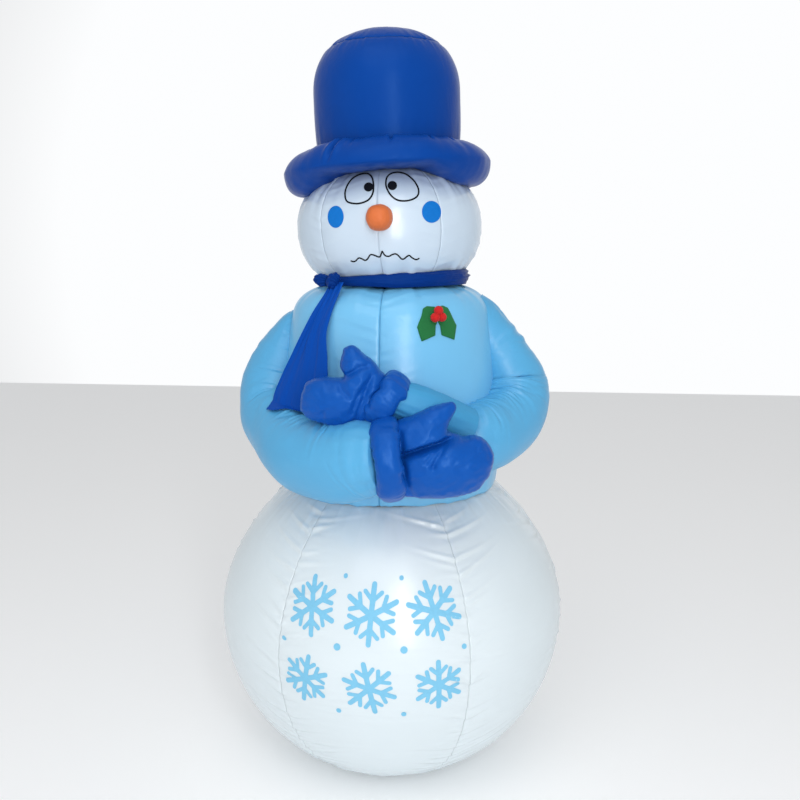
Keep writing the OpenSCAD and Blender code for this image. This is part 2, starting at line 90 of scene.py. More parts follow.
def add_area_light(name, place, target, size, power):
    data = bpy.data.lights.new(name, "AREA")
    data.shape = "RECTANGLE"
    data.size, data.size_y = size
    data.energy = power
    lamp = bpy.data.objects.new(name, data)
    scene.collection.objects.link(lamp)
    lamp.location = place
    lamp.rotation_euler = (Vector(target) - Vector(place)).to_track_quat("-Z", "Y").to_euler()


def add_lights():
    """Soft studio light: the surroundings' glow and the lamps."""
    world = bpy.data.worlds.new("studio")
    world.use_nodes = True
    tree = world.node_tree
    background = tree.nodes["Background"]
    background.inputs["Color"].default_value = (0.98, 0.99, 1.0, 1)
    # The wall behind the object and the room behind the camera are brighter than the two sides
    way = tree.nodes.new("ShaderNodeTexCoord")
    parts = tree.nodes.new("ShaderNodeSeparateXYZ")
    half = tree.nodes.new("ShaderNodeMath")
    half.operation = "MULTIPLY_ADD"
    half.inputs[1].default_value = 0.5
    half.inputs[2].default_value = 0.5
    ramp = tree.nodes.new("ShaderNodeValToRGB")
    stops = ramp.color_ramp.elements
    while len(stops) < len(ROOM):
        stops.new(0.5)
    for stop, (place, level) in zip(stops, ROOM):
        stop.position = place
        stop.color = (level, level, level, 1)
    tree.links.new(way.outputs["Generated"], parts.inputs["Vector"])
    tree.links.new(parts.outputs["Y"], half.inputs[0])
    tree.links.new(half.outputs["Value"], ramp.inputs["Fac"])
    tree.links.new(ramp.outputs["Color"], background.inputs["Strength"])
    scene.world = world
    for lamp in LAMPS:
        add_area_light(*lamp)


def add_floor():
    """A plain pale floor; its slight glow brings it close to the photograph's white ground."""
    mesh = bpy.data.meshes.new("floor")
    corners = [(-1, -1), (1, -1), (1, 1), (-1, 1)]
    mesh.from_pydata([(x * FLOOR_HALF, y * FLOOR_HALF, 0) for x, y in corners], [], [(0, 1, 2, 3)])
    floor = bpy.data.objects.new("floor", mesh)
    scene.collection.objects.link(floor)
    material, tree, shader = new_material("floor_paint", (0.97, 0.973, 0.976), 0.8)
    mesh.materials.append(material)
    grain = tree.nodes.new("ShaderNodeTexNoise")
    grain.inputs["Scale"].default_value = 3.0
    mix_colours(tree, grain.outputs["Fac"], (0.95, 0.955, 0.96), (0.98, 0.983, 0.986), shader)
    shader.inputs["Emission Color"].default_value = (1, 1, 1, 1)
    shader.inputs["Emission Strength"].default_value = FLOOR_GLOW


# ---------- materials ----------

def new_material(name, colour, roughness):
    """A material with one Principled shader; returns it, its tree and the shader."""
    material = bpy.data.materials.new(name)
    material.use_nodes = True
    tree = material.node_tree
    shader = tree.nodes["Principled BSDF"]
    shader.inputs["Base Color"].default_value = (*colour, 1)
    shader.inputs["Roughness"].default_value = roughness
    return material, tree, shader


def mix_colours(tree, factor, first, second, shader):
    """Blends two colours by a socket into the shader's base colour."""
    mix = tree.nodes.new("ShaderNodeMix")
    mix.data_type = "RGBA"
    mix.inputs["A"].default_value = (*first, 1)
    mix.inputs["B"].default_value = (*second, 1)
    tree.links.new(factor, mix.inputs["Factor"])
    tree.links.new(mix.outputs["Result"], shader.inputs["Base Color"])


def texture(tree, kind, scale, stretch=(1, 1, 1), **values):
    """The Fac socket of a texture in object space, its scale in cells per metre. Values named in
    small letters are settings of the node, and the others are its sockets."""
    place = tree.nodes.new("ShaderNodeTexCoord")
    mapping = tree.nodes.new("ShaderNodeMapping")
    mapping.inputs["Scale"].default_value = stretch
    node = tree.nodes.new("ShaderNodeTex" + kind)
    tree.links.new(place.outputs["Object"], mapping.inputs["Vector"])
    tree.links.new(mapping.outputs["Vector"], node.inputs["Vector"])
    node.inputs["Scale"].default_value = scale
    for key, value in values.items():
        if key[0].islower():
            setattr(node, key, value)
        else:
            node.inputs[key].default_value = value
    return node.outputs["Fac"]


def chain_bump(tree, shader, layers):
    """Stacks bump nodes, each (height socket, strength, distance), into the shader's normal."""
    last = None
    for height, strength, distance in layers:
        bump = tree.nodes.new("ShaderNodeBump")
        bump.inputs["Strength"].default_value = strength
        bump.inputs["Distance"].default_value = distance
        tree.links.new(height, bump.inputs["Height"])
        if last is not None:
            tree.links.new(last, bump.inputs["Normal"])
        last = bump.outputs["Normal"]
    tree.links.new(last, shader.inputs["Normal"])


WEAVE = 420.0  # scale of the two wave textures that make the weave


def shade(colour, factor):
    """A colour made lighter or darker."""
    return tuple(min(1.0, c * factor) for c in colour)


def make_cloth(name, colour, roughness, crinkle, crumple=0.0, mottle=0.06, gloss=0.5,
               glint=(1.0, 1.0, 1.0)):
    """Air-tight woven polyester: fine weave, soft crinkles and slight mottling."""
    material, tree, shader = new_material(name, colour, roughness)
    tone = texture(tree, "Noise", 9.0, Detail=3.0, Roughness=0.6)
    mix_colours(tree, tone, shade(colour, 1 - mottle), shade(colour, 1 + mottle), shader)
    both = tree.nodes.new("ShaderNodeMath")
    both.operation = "MAXIMUM"
    weaves = (((0.02, 0.02, 1), "Z"), ((1, 1, 0.02), "DIAGONAL"))
    for socket, (stretch, way) in zip(both.inputs, weaves):
        tree.links.new(texture(tree, "Wave", WEAVE, stretch, bands_direction=way), socket)
    folds = texture(tree, "Noise", 16.0, Detail=4.0, Roughness=0.55, Distortion=0.7)
    # Sharp little creases, as air-filled cloth has near its gathers
    sharp = texture(tree, "Noise", 17.0, noise_type="RIDGED_MULTIFRACTAL", Detail=3.0, Roughness=0.5,
                    Distortion=1.2)
    chain_bump(tree, shader, [(folds, crinkle, 4 * MM), (sharp, crumple, 2.5 * MM),
                              (both.outputs["Value"], 0.12, 0.15 * MM)])
    shader.inputs["Specular IOR Level"].default_value = gloss
    shader.inputs["Specular Tint"].default_value = (*glint, 1)
    return material


def make_print(name, colour):
    """Ink on cloth: the weave shows through as slight changes of tone and height."""
    material, tree, shader = new_material(name, colour, 0.5)
    tone = texture(tree, "Noise", 160.0, Detail=3.0)
    mix_colours(tree, tone, shade(colour, 0.93), shade(colour, 1.07), shader)
    chain_bump(tree, shader, [(tone, 0.12, 0.3 * MM)])
    shader.inputs["Specular IOR Level"].default_value = 0.12
    return material


def make_felt(name, colour):
    """Pressed felt: short tangled fibres and a soft sheen."""
    material, tree, shader = new_material(name, colour, 0.9)
    fibres = texture(tree, "Noise", 420.0, Detail=6.0, Roughness=0.75, Distortion=1.5)
    mix_colours(tree, fibres, shade(colour, 0.6), shade(colour, 1.35), shader)
    chain_bump(tree, shader, [(fibres, 0.6, 0.6 * MM)])
    shader.inputs["Sheen Weight"].default_value = 0.08
    return material


def make_webbing(name, colour):
    """Narrow woven tape: ribs across and along."""
    material, tree, shader = new_material(name, colour, 0.75)
    ribs = texture(tree, "Wave", 260.0, Distortion=0.6)
    cross = texture(tree, "Checker", 520.0)
    mix_colours(tree, cross, shade(colour, 0.7), shade(colour, 1.4), shader)
    chain_bump(tree, shader, [(ribs, 0.5, 0.4 * MM), (cross, 0.3, 0.2 * MM)])
    return material


def make_plastic(name, colour):
    """Moulded plastic with a fine spark-eroded grain."""
    material, tree, shader = new_material(name, colour, 0.45)
    tone = texture(tree, "Noise", 25.0, Detail=3.0)
    mix_colours(tree, tone, shade(colour, 0.85), shade(colour, 1.15), shader)
    chain_bump(tree, shader, [(texture(tree, "Noise", 900.0, Detail=2.0), 0.25, 0.1 * MM)])
    return material


def make_metal(name, colour, roughness):
    """Plated or turned metal with fine brushing and faint stains."""
    material, tree, shader = new_material(name, colour, roughness)
    shader.inputs["Metallic"].default_value = 1.0
    brush = texture(tree, "Noise", 300.0, stretch=(1, 1, 30), Detail=3.0)
    stain = texture(tree, "Noise", 60.0, Detail=4.0)
    mix_colours(tree, stain, shade(colour, 0.8), shade(colour, 1.1), shader)
    chain_bump(tree, shader, [(brush, 0.15, 0.05 * MM)])
    return material


def make_lens(name, colour):
    """Frosted lamp cover."""
    material, tree, shader = new_material(name, colour, 0.25)
    shader.inputs["Transmission Weight"].default_value = 0.5
    frost = texture(tree, "Noise", 700.0, Detail=2.0)
    mix_colours(tree, frost, shade(colour, 0.92), colour, shader)
    chain_bump(tree, shader, [(frost, 0.2, 0.1 * MM)])
    return material


# Linear colours of the cloths, and the tint of the light they mirror
WHITE = (0.70, 0.78, 0.82)
# The head's white is the ball's white cloth made darker: painted shade.
HEAD_WHITE_SHADED = (0.555, 0.668, 0.785)
SKY = (0.165, 0.50, 0.79)
# The sleeves take the torso's sky blue made darker: painted shade.
SLEEVE_SHADED = (0.085, 0.385, 0.67)
# The forearm takes the sky blue made darker still, which is painted shade, with a rougher, less glossy finish
# of its own.
SKY_DULL_SHADED = (0.05, 0.31, 0.58)
ROYAL = (0.003, 0.050, 0.29)
MITTEN = (0.004, 0.078, 0.39)
BLUE_GLINT = (0.25, 0.55, 1.0)
# The scarf is one blue: the band and knot take a darker copy and the hanging end a lighter one, as painted
# shade and painted light.
SCARF = (0.002, 0.030, 0.20)
SCARF_END_LIT = (0.003, 0.062, 0.37)


# ---------- mesh helpers ----------

def link(name, mesh, material):
    """A smooth-shaded object from a mesh, with its material."""
    piece = bpy.data.objects.new(name, mesh)
    scene.collection.objects.link(piece)
    mesh.materials.append(material)
    mesh.polygons.foreach_set("use_smooth", [True] * len(mesh.polygons))
    return piece


def stand_for(piece, *nodes):
    """Shows a piece of the outer skin in place of CAD nodes of the root body."""
    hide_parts(*nodes)
    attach(piece, "root")


def mesh_piece(name, verts, faces, material):
    """A piece from arrays of points and faces."""
    mesh = bpy.data.meshes.new(name)
    mesh.from_pydata(np.asarray(verts).tolist(), [], [tuple(int(k) for k in f) for f in faces])
    mesh.validate()
    return link(name, mesh, material)


def full_turn(count):
    """Evenly spaced angles round a circle, without the last one, which meets the first."""
    return np.linspace(0, 2 * math.pi, count, endpoint=False)


def grid_piece(name, points, material, wrap=False, capped=False, ring=False):
    """A skin through a grid of points, shaped (rows, columns, 3). wrap joins the last column to the first,
    ring joins the last row to the first, and capped closes each of those two rows with a fan."""
    rows, columns = points.shape[:2]
    verts = points.reshape(-1, 3).tolist()
    faces = []
    last = columns if wrap else columns - 1
    for i in range(rows if ring else rows - 1):
        low = i * columns
        high = (i + 1) % rows * columns
        for j in range(last):
            k = (j + 1) % columns
            faces.append((low + j, low + k, high + k, high + j))
    for row in (0, rows - 1) if capped else ():
        centre = len(verts)
        verts.append(points[row].mean(0).tolist())
        for j in range(last):
            k = (j + 1) % columns
            pair = (row * columns + j, row * columns + k)
            faces.append((centre, *(reversed(pair) if row == 0 else pair)))
    return mesh_piece(name, verts, faces, material)


def outward_faces(piece):
    """Turns the faces of a closed or open skin the same way, outwards."""
    bm = bmesh.new()
    bm.from_mesh(piece.data)
    bmesh.ops.recalc_face_normals(bm, faces=bm.faces[:])
    bm.to_mesh(piece.data)
    bm.free()


def stuffed_piece(name, node, points, material, ring=False):
    """A stuffed or blown-up piece from a grid of points: a ring, or a tube with closed ends."""
    piece = grid_piece(name, points, material, wrap=True, capped=not ring, ring=ring)
    outward_faces(piece)
    stand_for(piece, node)


def thicken(piece, thickness=1.2 * MM):
    """Gives cloth a thickness, inwards from its mesh."""
    modifier = piece.modifiers.new("thickness", "SOLIDIFY")
    modifier.thickness = thickness
    modifier.offset = -1.0


TABLES = {}  # the noise's table of random heights for each seed
TABLE_SIZE = (97, 89)


def ease(f):
    """0 to 1, slow at both ends."""
    return f * f * (3 - 2 * f)


def noise(u, v, seed):
    """Smooth noise from -1 to 1; u and v are arrays in cells."""
    if seed not in TABLES:
        TABLES[seed] = np.random.RandomState(seed).uniform(-1, 1, TABLE_SIZE)
    table = TABLES[seed]
    rows, columns = TABLE_SIZE
    u, v = np.broadcast_arrays(np.asarray(u, float), np.asarray(v, float))
    iu, iv = np.floor(u).astype(int), np.floor(v).astype(int)
    fu, fv = u - iu, v - iv
    fu, fv = ease(fu), ease(fv)
    a = table[iu % rows, iv % columns]
    b = table[(iu + 1) % rows, iv % columns]
    c = table[iu % rows, (iv + 1) % columns]
    d = table[(iu + 1) % rows, (iv + 1) % columns]
    return (a * (1 - fu) + b * fu) * (1 - fv) + (c * (1 - fu) + d * fu) * fv


def round_noise(angle, pitch, v, seed):
    """Noise along an angle in degrees from 0 to 360 that meets itself after a full turn."""
    turn = np.mod(angle, 360.0)
    f = ease(np.clip((turn - 315) / 45, 0, 1))
    return noise(turn / pitch + 60, v, seed) * (1 - f) + noise((turn - 360) / pitch + 60, v, seed) * f


def turn_from(angle, middle):
    """How far angles lie from a middle angle, from -180 to 180 degrees."""
    return (angle - middle + 180) % 360 - 180


def near(distance, reach, power=2.0):
    """1 at a distance of zero, falling to 0 over the reach."""
    return np.exp(-np.abs(distance / reach) ** power)


def round_axis(r, a, z):
    """Points from radii, angles in radians and heights."""
    return np.stack([r * np.cos(a), r * np.sin(a), z], 2)


def lobe(r, dz, h, n):
    """Radius of a superellipse of half width r and half height h, dz from its widest ring."""
    q = np.minimum(1.0, np.abs(dz) / h)
    return r * (1 - q ** n) ** (1 / n)


def along(outline, step):
    """Points of an outline of (r, z), spaced evenly by step, and their distance along it."""
    outline = np.array(outline, float)
    run = run_along(outline)
    count = max(2, int(round(run[-1] / step)))
    s = np.linspace(0, run[-1], count + 1)
    return np.stack([np.interp(s, run, outline[:, 0]), np.interp(s, run, outline[:, 1])], 1), s


def outward(outline):
    """Unit normals of an outline drawn upwards, pointing away from the axis."""
    d = np.gradient(outline, axis=0)
    d /= np.maximum(1e-9, np.hypot(d[:, 0], d[:, 1]))[:, None]
    return np.stack([d[:, 1], -d[:, 0]], 1)


LEAN = math.radians(2.5)
CROWN_LEAN = 0.6 * LEAN
NECK_Z = 1.237


def lean(points, angle=LEAN, pivot=NECK_Z):
    """Tilts points towards the right shoulder, about a point of the axis."""
    out = points.copy()
    dz = points[..., 2] - pivot
    out[..., 0] = points[..., 0] * math.cos(angle) - dz * math.sin(angle)
    out[..., 2] = pivot + points[..., 0] * math.sin(angle) + dz * math.cos(angle)
    return out


def gore(name, node, outline, start, span, relief, material, step, tilt=0.0):
    """One cloth panel of revolution, from angle start over span, in degrees. relief gives the height
    of the cloth over the outline from (angle, radius, z, distance along)."""
    points, s = along(outline, step)
    normals = outward(points)
    widest = points[:, 0].max()
    columns = max(8, int(round(math.radians(span) * widest / step)))
    angle = np.radians(np.linspace(start, start + span, columns + 1))
    a, r = np.meshgrid(angle, points[:, 0])
    z = np.repeat(points[:, 1][:, None], columns + 1, 1)
    run = np.repeat(s[:, None], columns + 1, 1)
    up = relief(np.degrees(a), r, z, run)
    r = r + up * normals[:, 0][:, None]
    z = z + up * normals[:, 1][:, None]
    grid = round_axis(r, a, z)
    if tilt:
        grid = lean(grid, tilt)
    piece = grid_piece(name, grid, material)
    thicken(piece)
    stand_for(piece, node)
    return piece


def seam_relief(angle, r, run, seams, seed, depth, pucker, reach, pitch=12 * MM, bulge=3 * MM):
    """Height of cloth that is sewn along the given angles: a groove, puckers across it, and a soft
    bulge between the seams."""
    total = np.zeros_like(r)
    closest = np.full_like(r, 1e3)
    for i, seam in enumerate(seams):
        d = np.radians(turn_from(angle, seam)) * r
        far = np.abs(d)
        closest = np.minimum(closest, far)
        length = reach * (0.45 + 0.85 * (0.5 + 0.5 * noise(run / (pitch * 1.3), 3.0 + i, seed)))
        ridge = noise(run / pitch + 0.15 * np.sign(d), 11.0 + 7 * i + 0.6 * far / reach, seed + 1)
        ridge += 0.5 * noise(run / (pitch * 0.43), 5.0 * i + far / reach, seed + 2)
        total += pucker * ridge * near(far, length, 1.4) * (1 - 0.75 * near(far, 2.5 * MM))
        total -= depth * near(far, 3.0 * MM) + 0.8 * depth * near(far, 13 * MM)
    return total + bulge * (1 - near(closest, 90 * MM))


# ---------- outlines, close to the CAD model's ----------

# In metres, but ZIP_HALF is in degrees. R is a radius, Z a height, and LOW, UP, DOME, A and B are half
# sizes of a lobe.
BALL_R = -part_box("ball_front_panel")[0][1]
BALL_Z = 0.405
BALL_LOW = 0.435  # makes the foot run in a little more tightly than in the CAD model
WAIST_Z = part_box("ball_front_panel")[1][2]
TORSO_R = 0.276
ZIP_Z = 0.430
ZIP_HALF = 16
DUCT_Z = 0.250
DUCT_R = 0.060
TORSO_Z = 0.88
HEM_Z = WAIST_Z + 8 * MM
TORSO_TOP = 1.228
SHOULDER = (0.142, 1.152)
SHOULDER_A = 0.105
SHOULDER_B = 0.077
HEAD_R = 0.226
HEAD_Z = 1.375
HEAD_TOP = 1.497
HEAD_HIGH = (0.150, 2.1)  # half height and power of the lobe above the head's widest ring
CROWN_R = 0.177
CROWN_Z = 1.68
CROWN_BASE = 1.553
CROWN_SEAM = CROWN_Z + 0.109
CROWN_DOME = 0.150
BRIM_R = 0.205
BRIM_MID = 1.509
BRIM_A = 0.0475
BRIM_UP = 0.062


def two_lobes(r, dz, low, high):
    """Radius of a body with a lobe (half height, power) below its widest ring and one above it."""
    return np.where(dz < 0, lobe(r, dz, *low), lobe(r, dz, *high))


def ball_outline():
    z = np.concatenate([np.linspace(0, BALL_Z, 60), np.linspace(BALL_Z, WAIST_Z, 60)[1:]])
    return np.stack([two_lobes(BALL_R, z - BALL_Z, (BALL_LOW, 2), (0.42, 1.8)), z], 1)


def torso_low(z):
    """The torso's radius below its widest ring."""
    return lobe(TORSO_R, z - TORSO_Z, 0.375, 2.5)


def torso_outline():
    roll = 9 * MM
    points = []
    for a in np.radians(np.arange(-100, -10, 12)):
        points.append((torso_low(HEM_Z) - roll + roll * math.cos(a), HEM_Z + roll * math.sin(a)))
    for z in np.linspace(HEM_Z, TORSO_Z, 20):
        points.append((torso_low(z), z))
    for z in np.linspace(TORSO_Z, SHOULDER[1] - 0.01, 24)[1:]:
        points.append((TORSO_R - 0.03 * ((z - TORSO_Z) / 0.285) ** 1.6, z))
    for a in np.radians(np.arange(4, 91, 5)):
        points.append((SHOULDER[0] + SHOULDER_A * math.cos(a), SHOULDER[1] + SHOULDER_B * math.sin(a)))
    return np.array(points)


def head_outline():
    z = np.concatenate([np.linspace(NECK_Z, HEAD_Z, 40), np.linspace(HEAD_Z, HEAD_TOP, 40)[1:]])
    return np.stack([two_lobes(HEAD_R, z - HEAD_Z, (0.165, 2.5), HEAD_HIGH), z], 1)


def crown_radius(z):
    return two_lobes(CROWN_R, z - CROWN_Z, (0.29, 3), (CROWN_DOME, 2.3))


# ---------- ball, torso, head and hat ----------

PULL_REACH = 0.15  # no pull line gets further from its seam
SEAM_WIDTH = 9 * MM  # a pull line fades within this of its seam, and past it on the other side


def pull_lines(angle, r, run, seams, spacing, height, seed):
    """Thin creases that cross a seam and rise away from it on both sides."""
    total = np.zeros_like(r)
    count = int(run.max() / spacing)
    for i, seam in enumerate(seams):
        chance = np.random.RandomState(seed + i)
        far = np.radians(turn_from(angle, seam)) * r
        if np.abs(far).min() > PULL_REACH:
            continue
        for k in range(2 * count):
            side = 1 if k % 2 else -1
            at = (k // 2 + chance.uniform(0.1, 0.9)) * spacing
            size = chance.uniform(0.35, 1)
            length = chance.uniform(30, 95) * MM
            rise = chance.uniform(0.15, 0.45)
            out = far * side
            ride = run - at - rise * np.abs(far)
            reach = np.where(out > 0, np.exp(-(out / length) ** 2), np.exp(-(out / SEAM_WIDTH) ** 2))
            reach = reach * (1 - 0.5 * near(far, SEAM_WIDTH))
            total += height * size * reach * (near(ride, 5 * MM) - 0.6 * near(ride + 11 * MM, 8 * MM))
    return total


BALL_SEAMS = [0, 60, 120, 180, 240, 300]
BALL_NODES = ["ball_back_left_panel", "ball_back_panel", "ball_back_right_panel", "ball_front_right_panel",
              "ball_front_panel", "ball_front_left_panel"]


def ball_relief(angle, r, z, run):
    """Height of the ball's cloth: seams, pull lines, slow waves and gathers at the waist and the foot."""
    up = seam_relief(angle, r, run, BALL_SEAMS, 20, depth=0.15 * MM, pucker=1.3 * MM, reach=42 * MM,
                     pitch=13 * MM)
    up += pull_lines(angle, r, run, BALL_SEAMS, 44 * MM, 4.8 * MM, 25)
    up += 1.3 * MM * round_noise(angle, 22, run / 0.16, 31)
    pull = near((z - 0.36) / 0.16, 1.0)
    up += 0.45 * MM * pull * round_noise(angle, 26, run / (9 * MM), 33)
    waist = near(WAIST_Z - z, 0.05, 1.5)
    up += 2.2 * MM * waist * round_noise(angle, 2.6, run / 0.07, 35)
    foot = near(z, 0.05, 1.5)
    up += 1.6 * MM * foot * round_noise(angle, 4.0, run / 0.06, 37)
    fixed = near(z, 5 * MM) + near(z - WAIST_Z, 5 * MM)
    # The cloth is flat under the zipper
    zipped = near(turn_from(angle, BACK), ZIP_HALF + 3, 8) * near(z - ZIP_Z, 24 * MM, 6)
    return (up * (1 - np.clip(fixed, 0, 1)) - 1.0 * MM) * (1 - zipped) - 0.6 * MM * zipped


def build_ball(cloth):
    outline = ball_outline()
    return [gore(node.replace("_panel", "_cloth"), node, outline, start, 60, ball_relief, cloth, 4 * MM)
            for start, node in zip(BALL_SEAMS, BALL_NODES)]


def torso_relief(angle, r, z, run):
    up = seam_relief(angle, r, run, [-90, 90, 0, 180], 50, depth=1.8 * MM, pucker=1.0 * MM, reach=24 * MM)
    up += 1.6 * MM * round_noise(angle, 24, z / 0.12, 53)
    up += pull_lines(angle, r, run, [-90, 90], 36 * MM, 1.5 * MM, 57)
    hem = near(z - HEM_Z, 0.045, 1.5)
    up += (2.6 * MM * hem * round_noise(angle, 5.5, z / 0.09, 55)
           + 1.0 * MM * hem * round_noise(angle, 2.1, z / 0.05, 57))
    neck = near(z - TORSO_TOP, 0.05, 1.5)
    up += 2.2 * MM * neck * round_noise(angle, 5, z / 0.2, 59)
    return up - 0.5 * MM


def build_torso(cloth):
    outline = torso_outline()
    for node, start in (("torso_back_left_panel", 0), ("torso_back_right_panel", 90),
                        ("torso_front_right_panel", 180), ("torso_front_left_panel", 270)):
        gore(node.replace("_panel", "_cloth"), node, outline, start, 90, torso_relief, cloth, 4.5 * MM)


HEAD_SEAMS = [-52, 0, 45, 90, 135, 180, -128]


def head_relief(angle, r, z, run):
    up = seam_relief(angle, r, run, HEAD_SEAMS, 70, depth=0.7 * MM, pucker=0.6 * MM, reach=18 * MM,
                     pitch=11 * MM, bulge=2 * MM)
    up += 1.3 * MM * round_noise(angle, 25, z / 0.09, 71)
    up += pull_lines(angle, r, run, HEAD_SEAMS, 32 * MM, 1.3 * MM, 77)
    # The seam down the middle of the face
    middle = np.radians(turn_from(angle, 270)) * r
    up -= (0.3 + 0.9 * near(z - NECK_Z, 0.06, 2)) * MM * near(middle, 3.0 * MM)
    face = near(turn_from(angle, 270), 34, 4)
    top = near(z - HEAD_TOP, 0.072, 2) * (1 - 0.75 * face)
    up += 5.0 * MM * top * round_noise(angle, 4.6, z / 0.16, 73)
    low = near(z - NECK_Z, 0.05, 1.4)
    up += 4.4 * MM * low * round_noise(angle, 5.6, z / 0.14, 75)
    return up - 0.6 * MM


def build_head(cloth):
    outline = head_outline()
    pieces = []
    for name, node, start, span in (("face_right_cloth", "face_right_panel", 232, 38),
                                    ("face_left_cloth", "face_left_panel", 270, 38),
                                    ("head_left_cloth", "head_left_panel", 308, 52),
                                    ("head_right_cloth", "head_right_panel", 180, 52)):
        pieces.append(gore(name, node, outline, start, span, head_relief, cloth, 4 * MM, tilt=LEAN))
    for i, start in enumerate((0, 45, 90, 135)):
        gore(f"head_back_cloth_{i + 1}", "head_back_panels", outline, start, 45, head_relief, cloth, 5 * MM,
             tilt=LEAN)
    return pieces


def front_share(angle):
    """1 at the front, falling to 0 at the sides and back."""
    turn = np.abs(turn_from(angle, FRONT))
    return 1 - ease(np.clip((turn - 27) / 40, 0, 1))


# Each pleat at the foot of the crown: angle, depth, width and how far down the front it runs, to 1
BRIM_PLEATS = [(-140, 0.6, 3.0, 0.3), (-111, 1.3, 2.8, 0.97), (-103, 0.4, 2.0, 0.6), (-92, 0.4, 2.6, 0.3),
               (-79, 0.9, 2.4, 0.6), (-66, 0.5, 2.4, 0.3), (-55, 0.8, 2.4, 0.55), (-38, 0.8, 2.4, 0.45),
               (-20, 0.6, 3, 0.3), (8, 0.7, 3, 0.3), (41, 0.5, 3, 0.3), (77, 0.8, 3, 0.3), (112, 0.6, 3, 0.3),
               (151, 0.7, 3, 0.3), (-173, 0.6, 3, 0.3)]
BRIM_EXTRA_LEAN = math.radians(1.3)
# Angles round the brim's roll, from its outermost line: the seam with the head, the crown, the inner edge
BRIM_START = math.radians(112)
BRIM_INNER = math.radians(134)
BRIM_END = math.radians(152)


def build_brim(cloth):
    """The puffy ring of the brim, from its underside's seam with the head round to the crown."""
    a, t = np.meshgrid(np.linspace(0, 360, 400, endpoint=False), np.linspace(-BRIM_START, BRIM_END, 64))
    front = front_share(a)
    down = 0.056 - 0.041 * front
    c, s = np.cos(t), np.sin(t)
    flat = 1 + 0.43 * (1 - 0.6 * front)
    outer_top = (t > 0) & (c > 0)
    across = np.where(outer_top, np.abs(c) ** flat, c)
    roll = np.where(outer_top, np.abs(s) ** flat, s)
    rise = np.where(t > 0, BRIM_UP * (0.70 + 0.15 * front) * roll, down * s)
    r = BRIM_R + BRIM_A * across
    z = BRIM_MID + rise
    high = np.clip(t / BRIM_INNER, 0, 1)
    low = np.clip(-t / BRIM_START, 0, 1)
    up = 2.0 * MM * round_noise(a, 13, t * 1.2 + 4, 81) + 0.8 * MM * round_noise(a, 4.6, t * 1.5 + 4, 83)
    up += 2.0 * MM * np.maximum(high, low) ** 3 * round_noise(a, 4.5, t * 0.7 + 4, 85)
    for place, size, width, reach in BRIM_PLEATS:
        bend = turn_from(a, place) + 5.0 * (0.75 - high) * size
        span = np.clip((high - 0.75 * (1 - reach)) * 3.0, 0, 1) * np.clip((1 - high) * 9, 0.35, 1)
        up -= size * 10 * MM * near(bend, width * 0.42) * span
        up += size * 3.5 * MM * near(np.abs(bend) - width, width * 0.7) * span
    up *= np.clip((1 - np.maximum(high, low)) * 9, 0.15, 1)
    r = r + up * c
    z = z + up * s
    # Under the brim the cloth runs in to its seam with the head
    tuck = np.clip(np.degrees(-t) / 22 - 90 / 22, 0, 1)
    r = r * (1 - tuck) + (lobe(HEAD_R, z - HEAD_Z, *HEAD_HIGH) - 5 * MM) * tuck
    # Past its meeting with the crown the cloth runs on inwards, so no gap opens below the crown
    r -= 15 * MM * np.clip((t - BRIM_INNER) / (BRIM_END - BRIM_INNER), 0, 1)
    grid = lean(lean(round_axis(r, np.radians(a), z)), BRIM_EXTRA_LEAN, BRIM_MID)
    piece = grid_piece("brim_cloth", grid, cloth, wrap=True)
    thicken(piece)
    stand_for(piece, "hat_brim_lower", "hat_brim_upper")


def crown_relief(angle, r, z, run):
    """Height of the crown's cloth; run is given to every relief and isn't needed here."""
    up = 1.2 * MM * round_noise(angle, 28, z / 0.12, 91)
    base = near(z - CROWN_BASE, 0.045, 1.5)
    up += 1.5 * MM * base * round_noise(angle, 5, z / 0.08, 93)
    top = near(z - CROWN_SEAM, 0.022, 1.5)
    up += 1.9 * MM * top * round_noise(angle, 2.9, z / 0.03, 95) - 1.6 * MM * near(z - CROWN_SEAM, 3.5 * MM)
    return up - 1.5 * MM * near(np.radians(turn_from(angle, BACK)) * r, 3 * MM)


def build_hat(cloth):
    build_brim(cloth)
    z = np.linspace(CROWN_BASE - 34 * MM, CROWN_SEAM, 60)
    side = np.stack([crown_radius(z), z], 1)
    gore("crown_side_cloth", "hat_crown_side", side, 90, 360, crown_relief, cloth, 5 * MM, tilt=CROWN_LEAN)
    a = np.linspace(0, math.pi / 2, 40)
    z = CROWN_SEAM + (CROWN_Z + CROWN_DOME - CROWN_SEAM) * np.sin(a)
    top = np.stack([np.maximum(crown_radius(z), 0.4 * MM), z], 1)
    gore("crown_top_cloth", "hat_crown_top", top, 90, 360, crown_relief, cloth, 5 * MM, tilt=CROWN_LEAN)


# ---------- flat outlines: filled, printed or inflated ----------

def between(a, b, c, d, f):
    """A share f of the way from b to c on the smooth curve through four places."""
    return 0.5 * (2 * b + (c - a) * f + (2 * a - 5 * b + 4 * c - d) * f * f
                  + (3 * b - a - 3 * c + d) * f ** 3)


def run_along(line):
    """Distance along a flat line at each of its points."""
    return np.concatenate([[0], np.cumsum(np.hypot(*np.diff(line, axis=0).T))])


def closed_curve(points, spacing, sharp=False):
    """Points evenly spaced on a closed smooth curve (or straight sides) through given points."""
    p = np.array(points, float)
    n = len(p)
    dense = []
    for i in range(n):
        a, b, c, d = p[i - 1], p[i], p[(i + 1) % n], p[(i + 2) % n]
        for f in np.linspace(0, 1, 12, endpoint=False):
            dense.append(b + (c - b) * f if sharp else between(a, b, c, d, f))
    dense = np.array(dense + [dense[0]])
    run = run_along(dense)
    count = max(8, int(round(run[-1] / spacing)))
    s = np.linspace(0, run[-1], count, endpoint=False)
    return np.stack([np.interp(s, run, dense[:, 0]), np.interp(s, run, dense[:, 1])], 1)


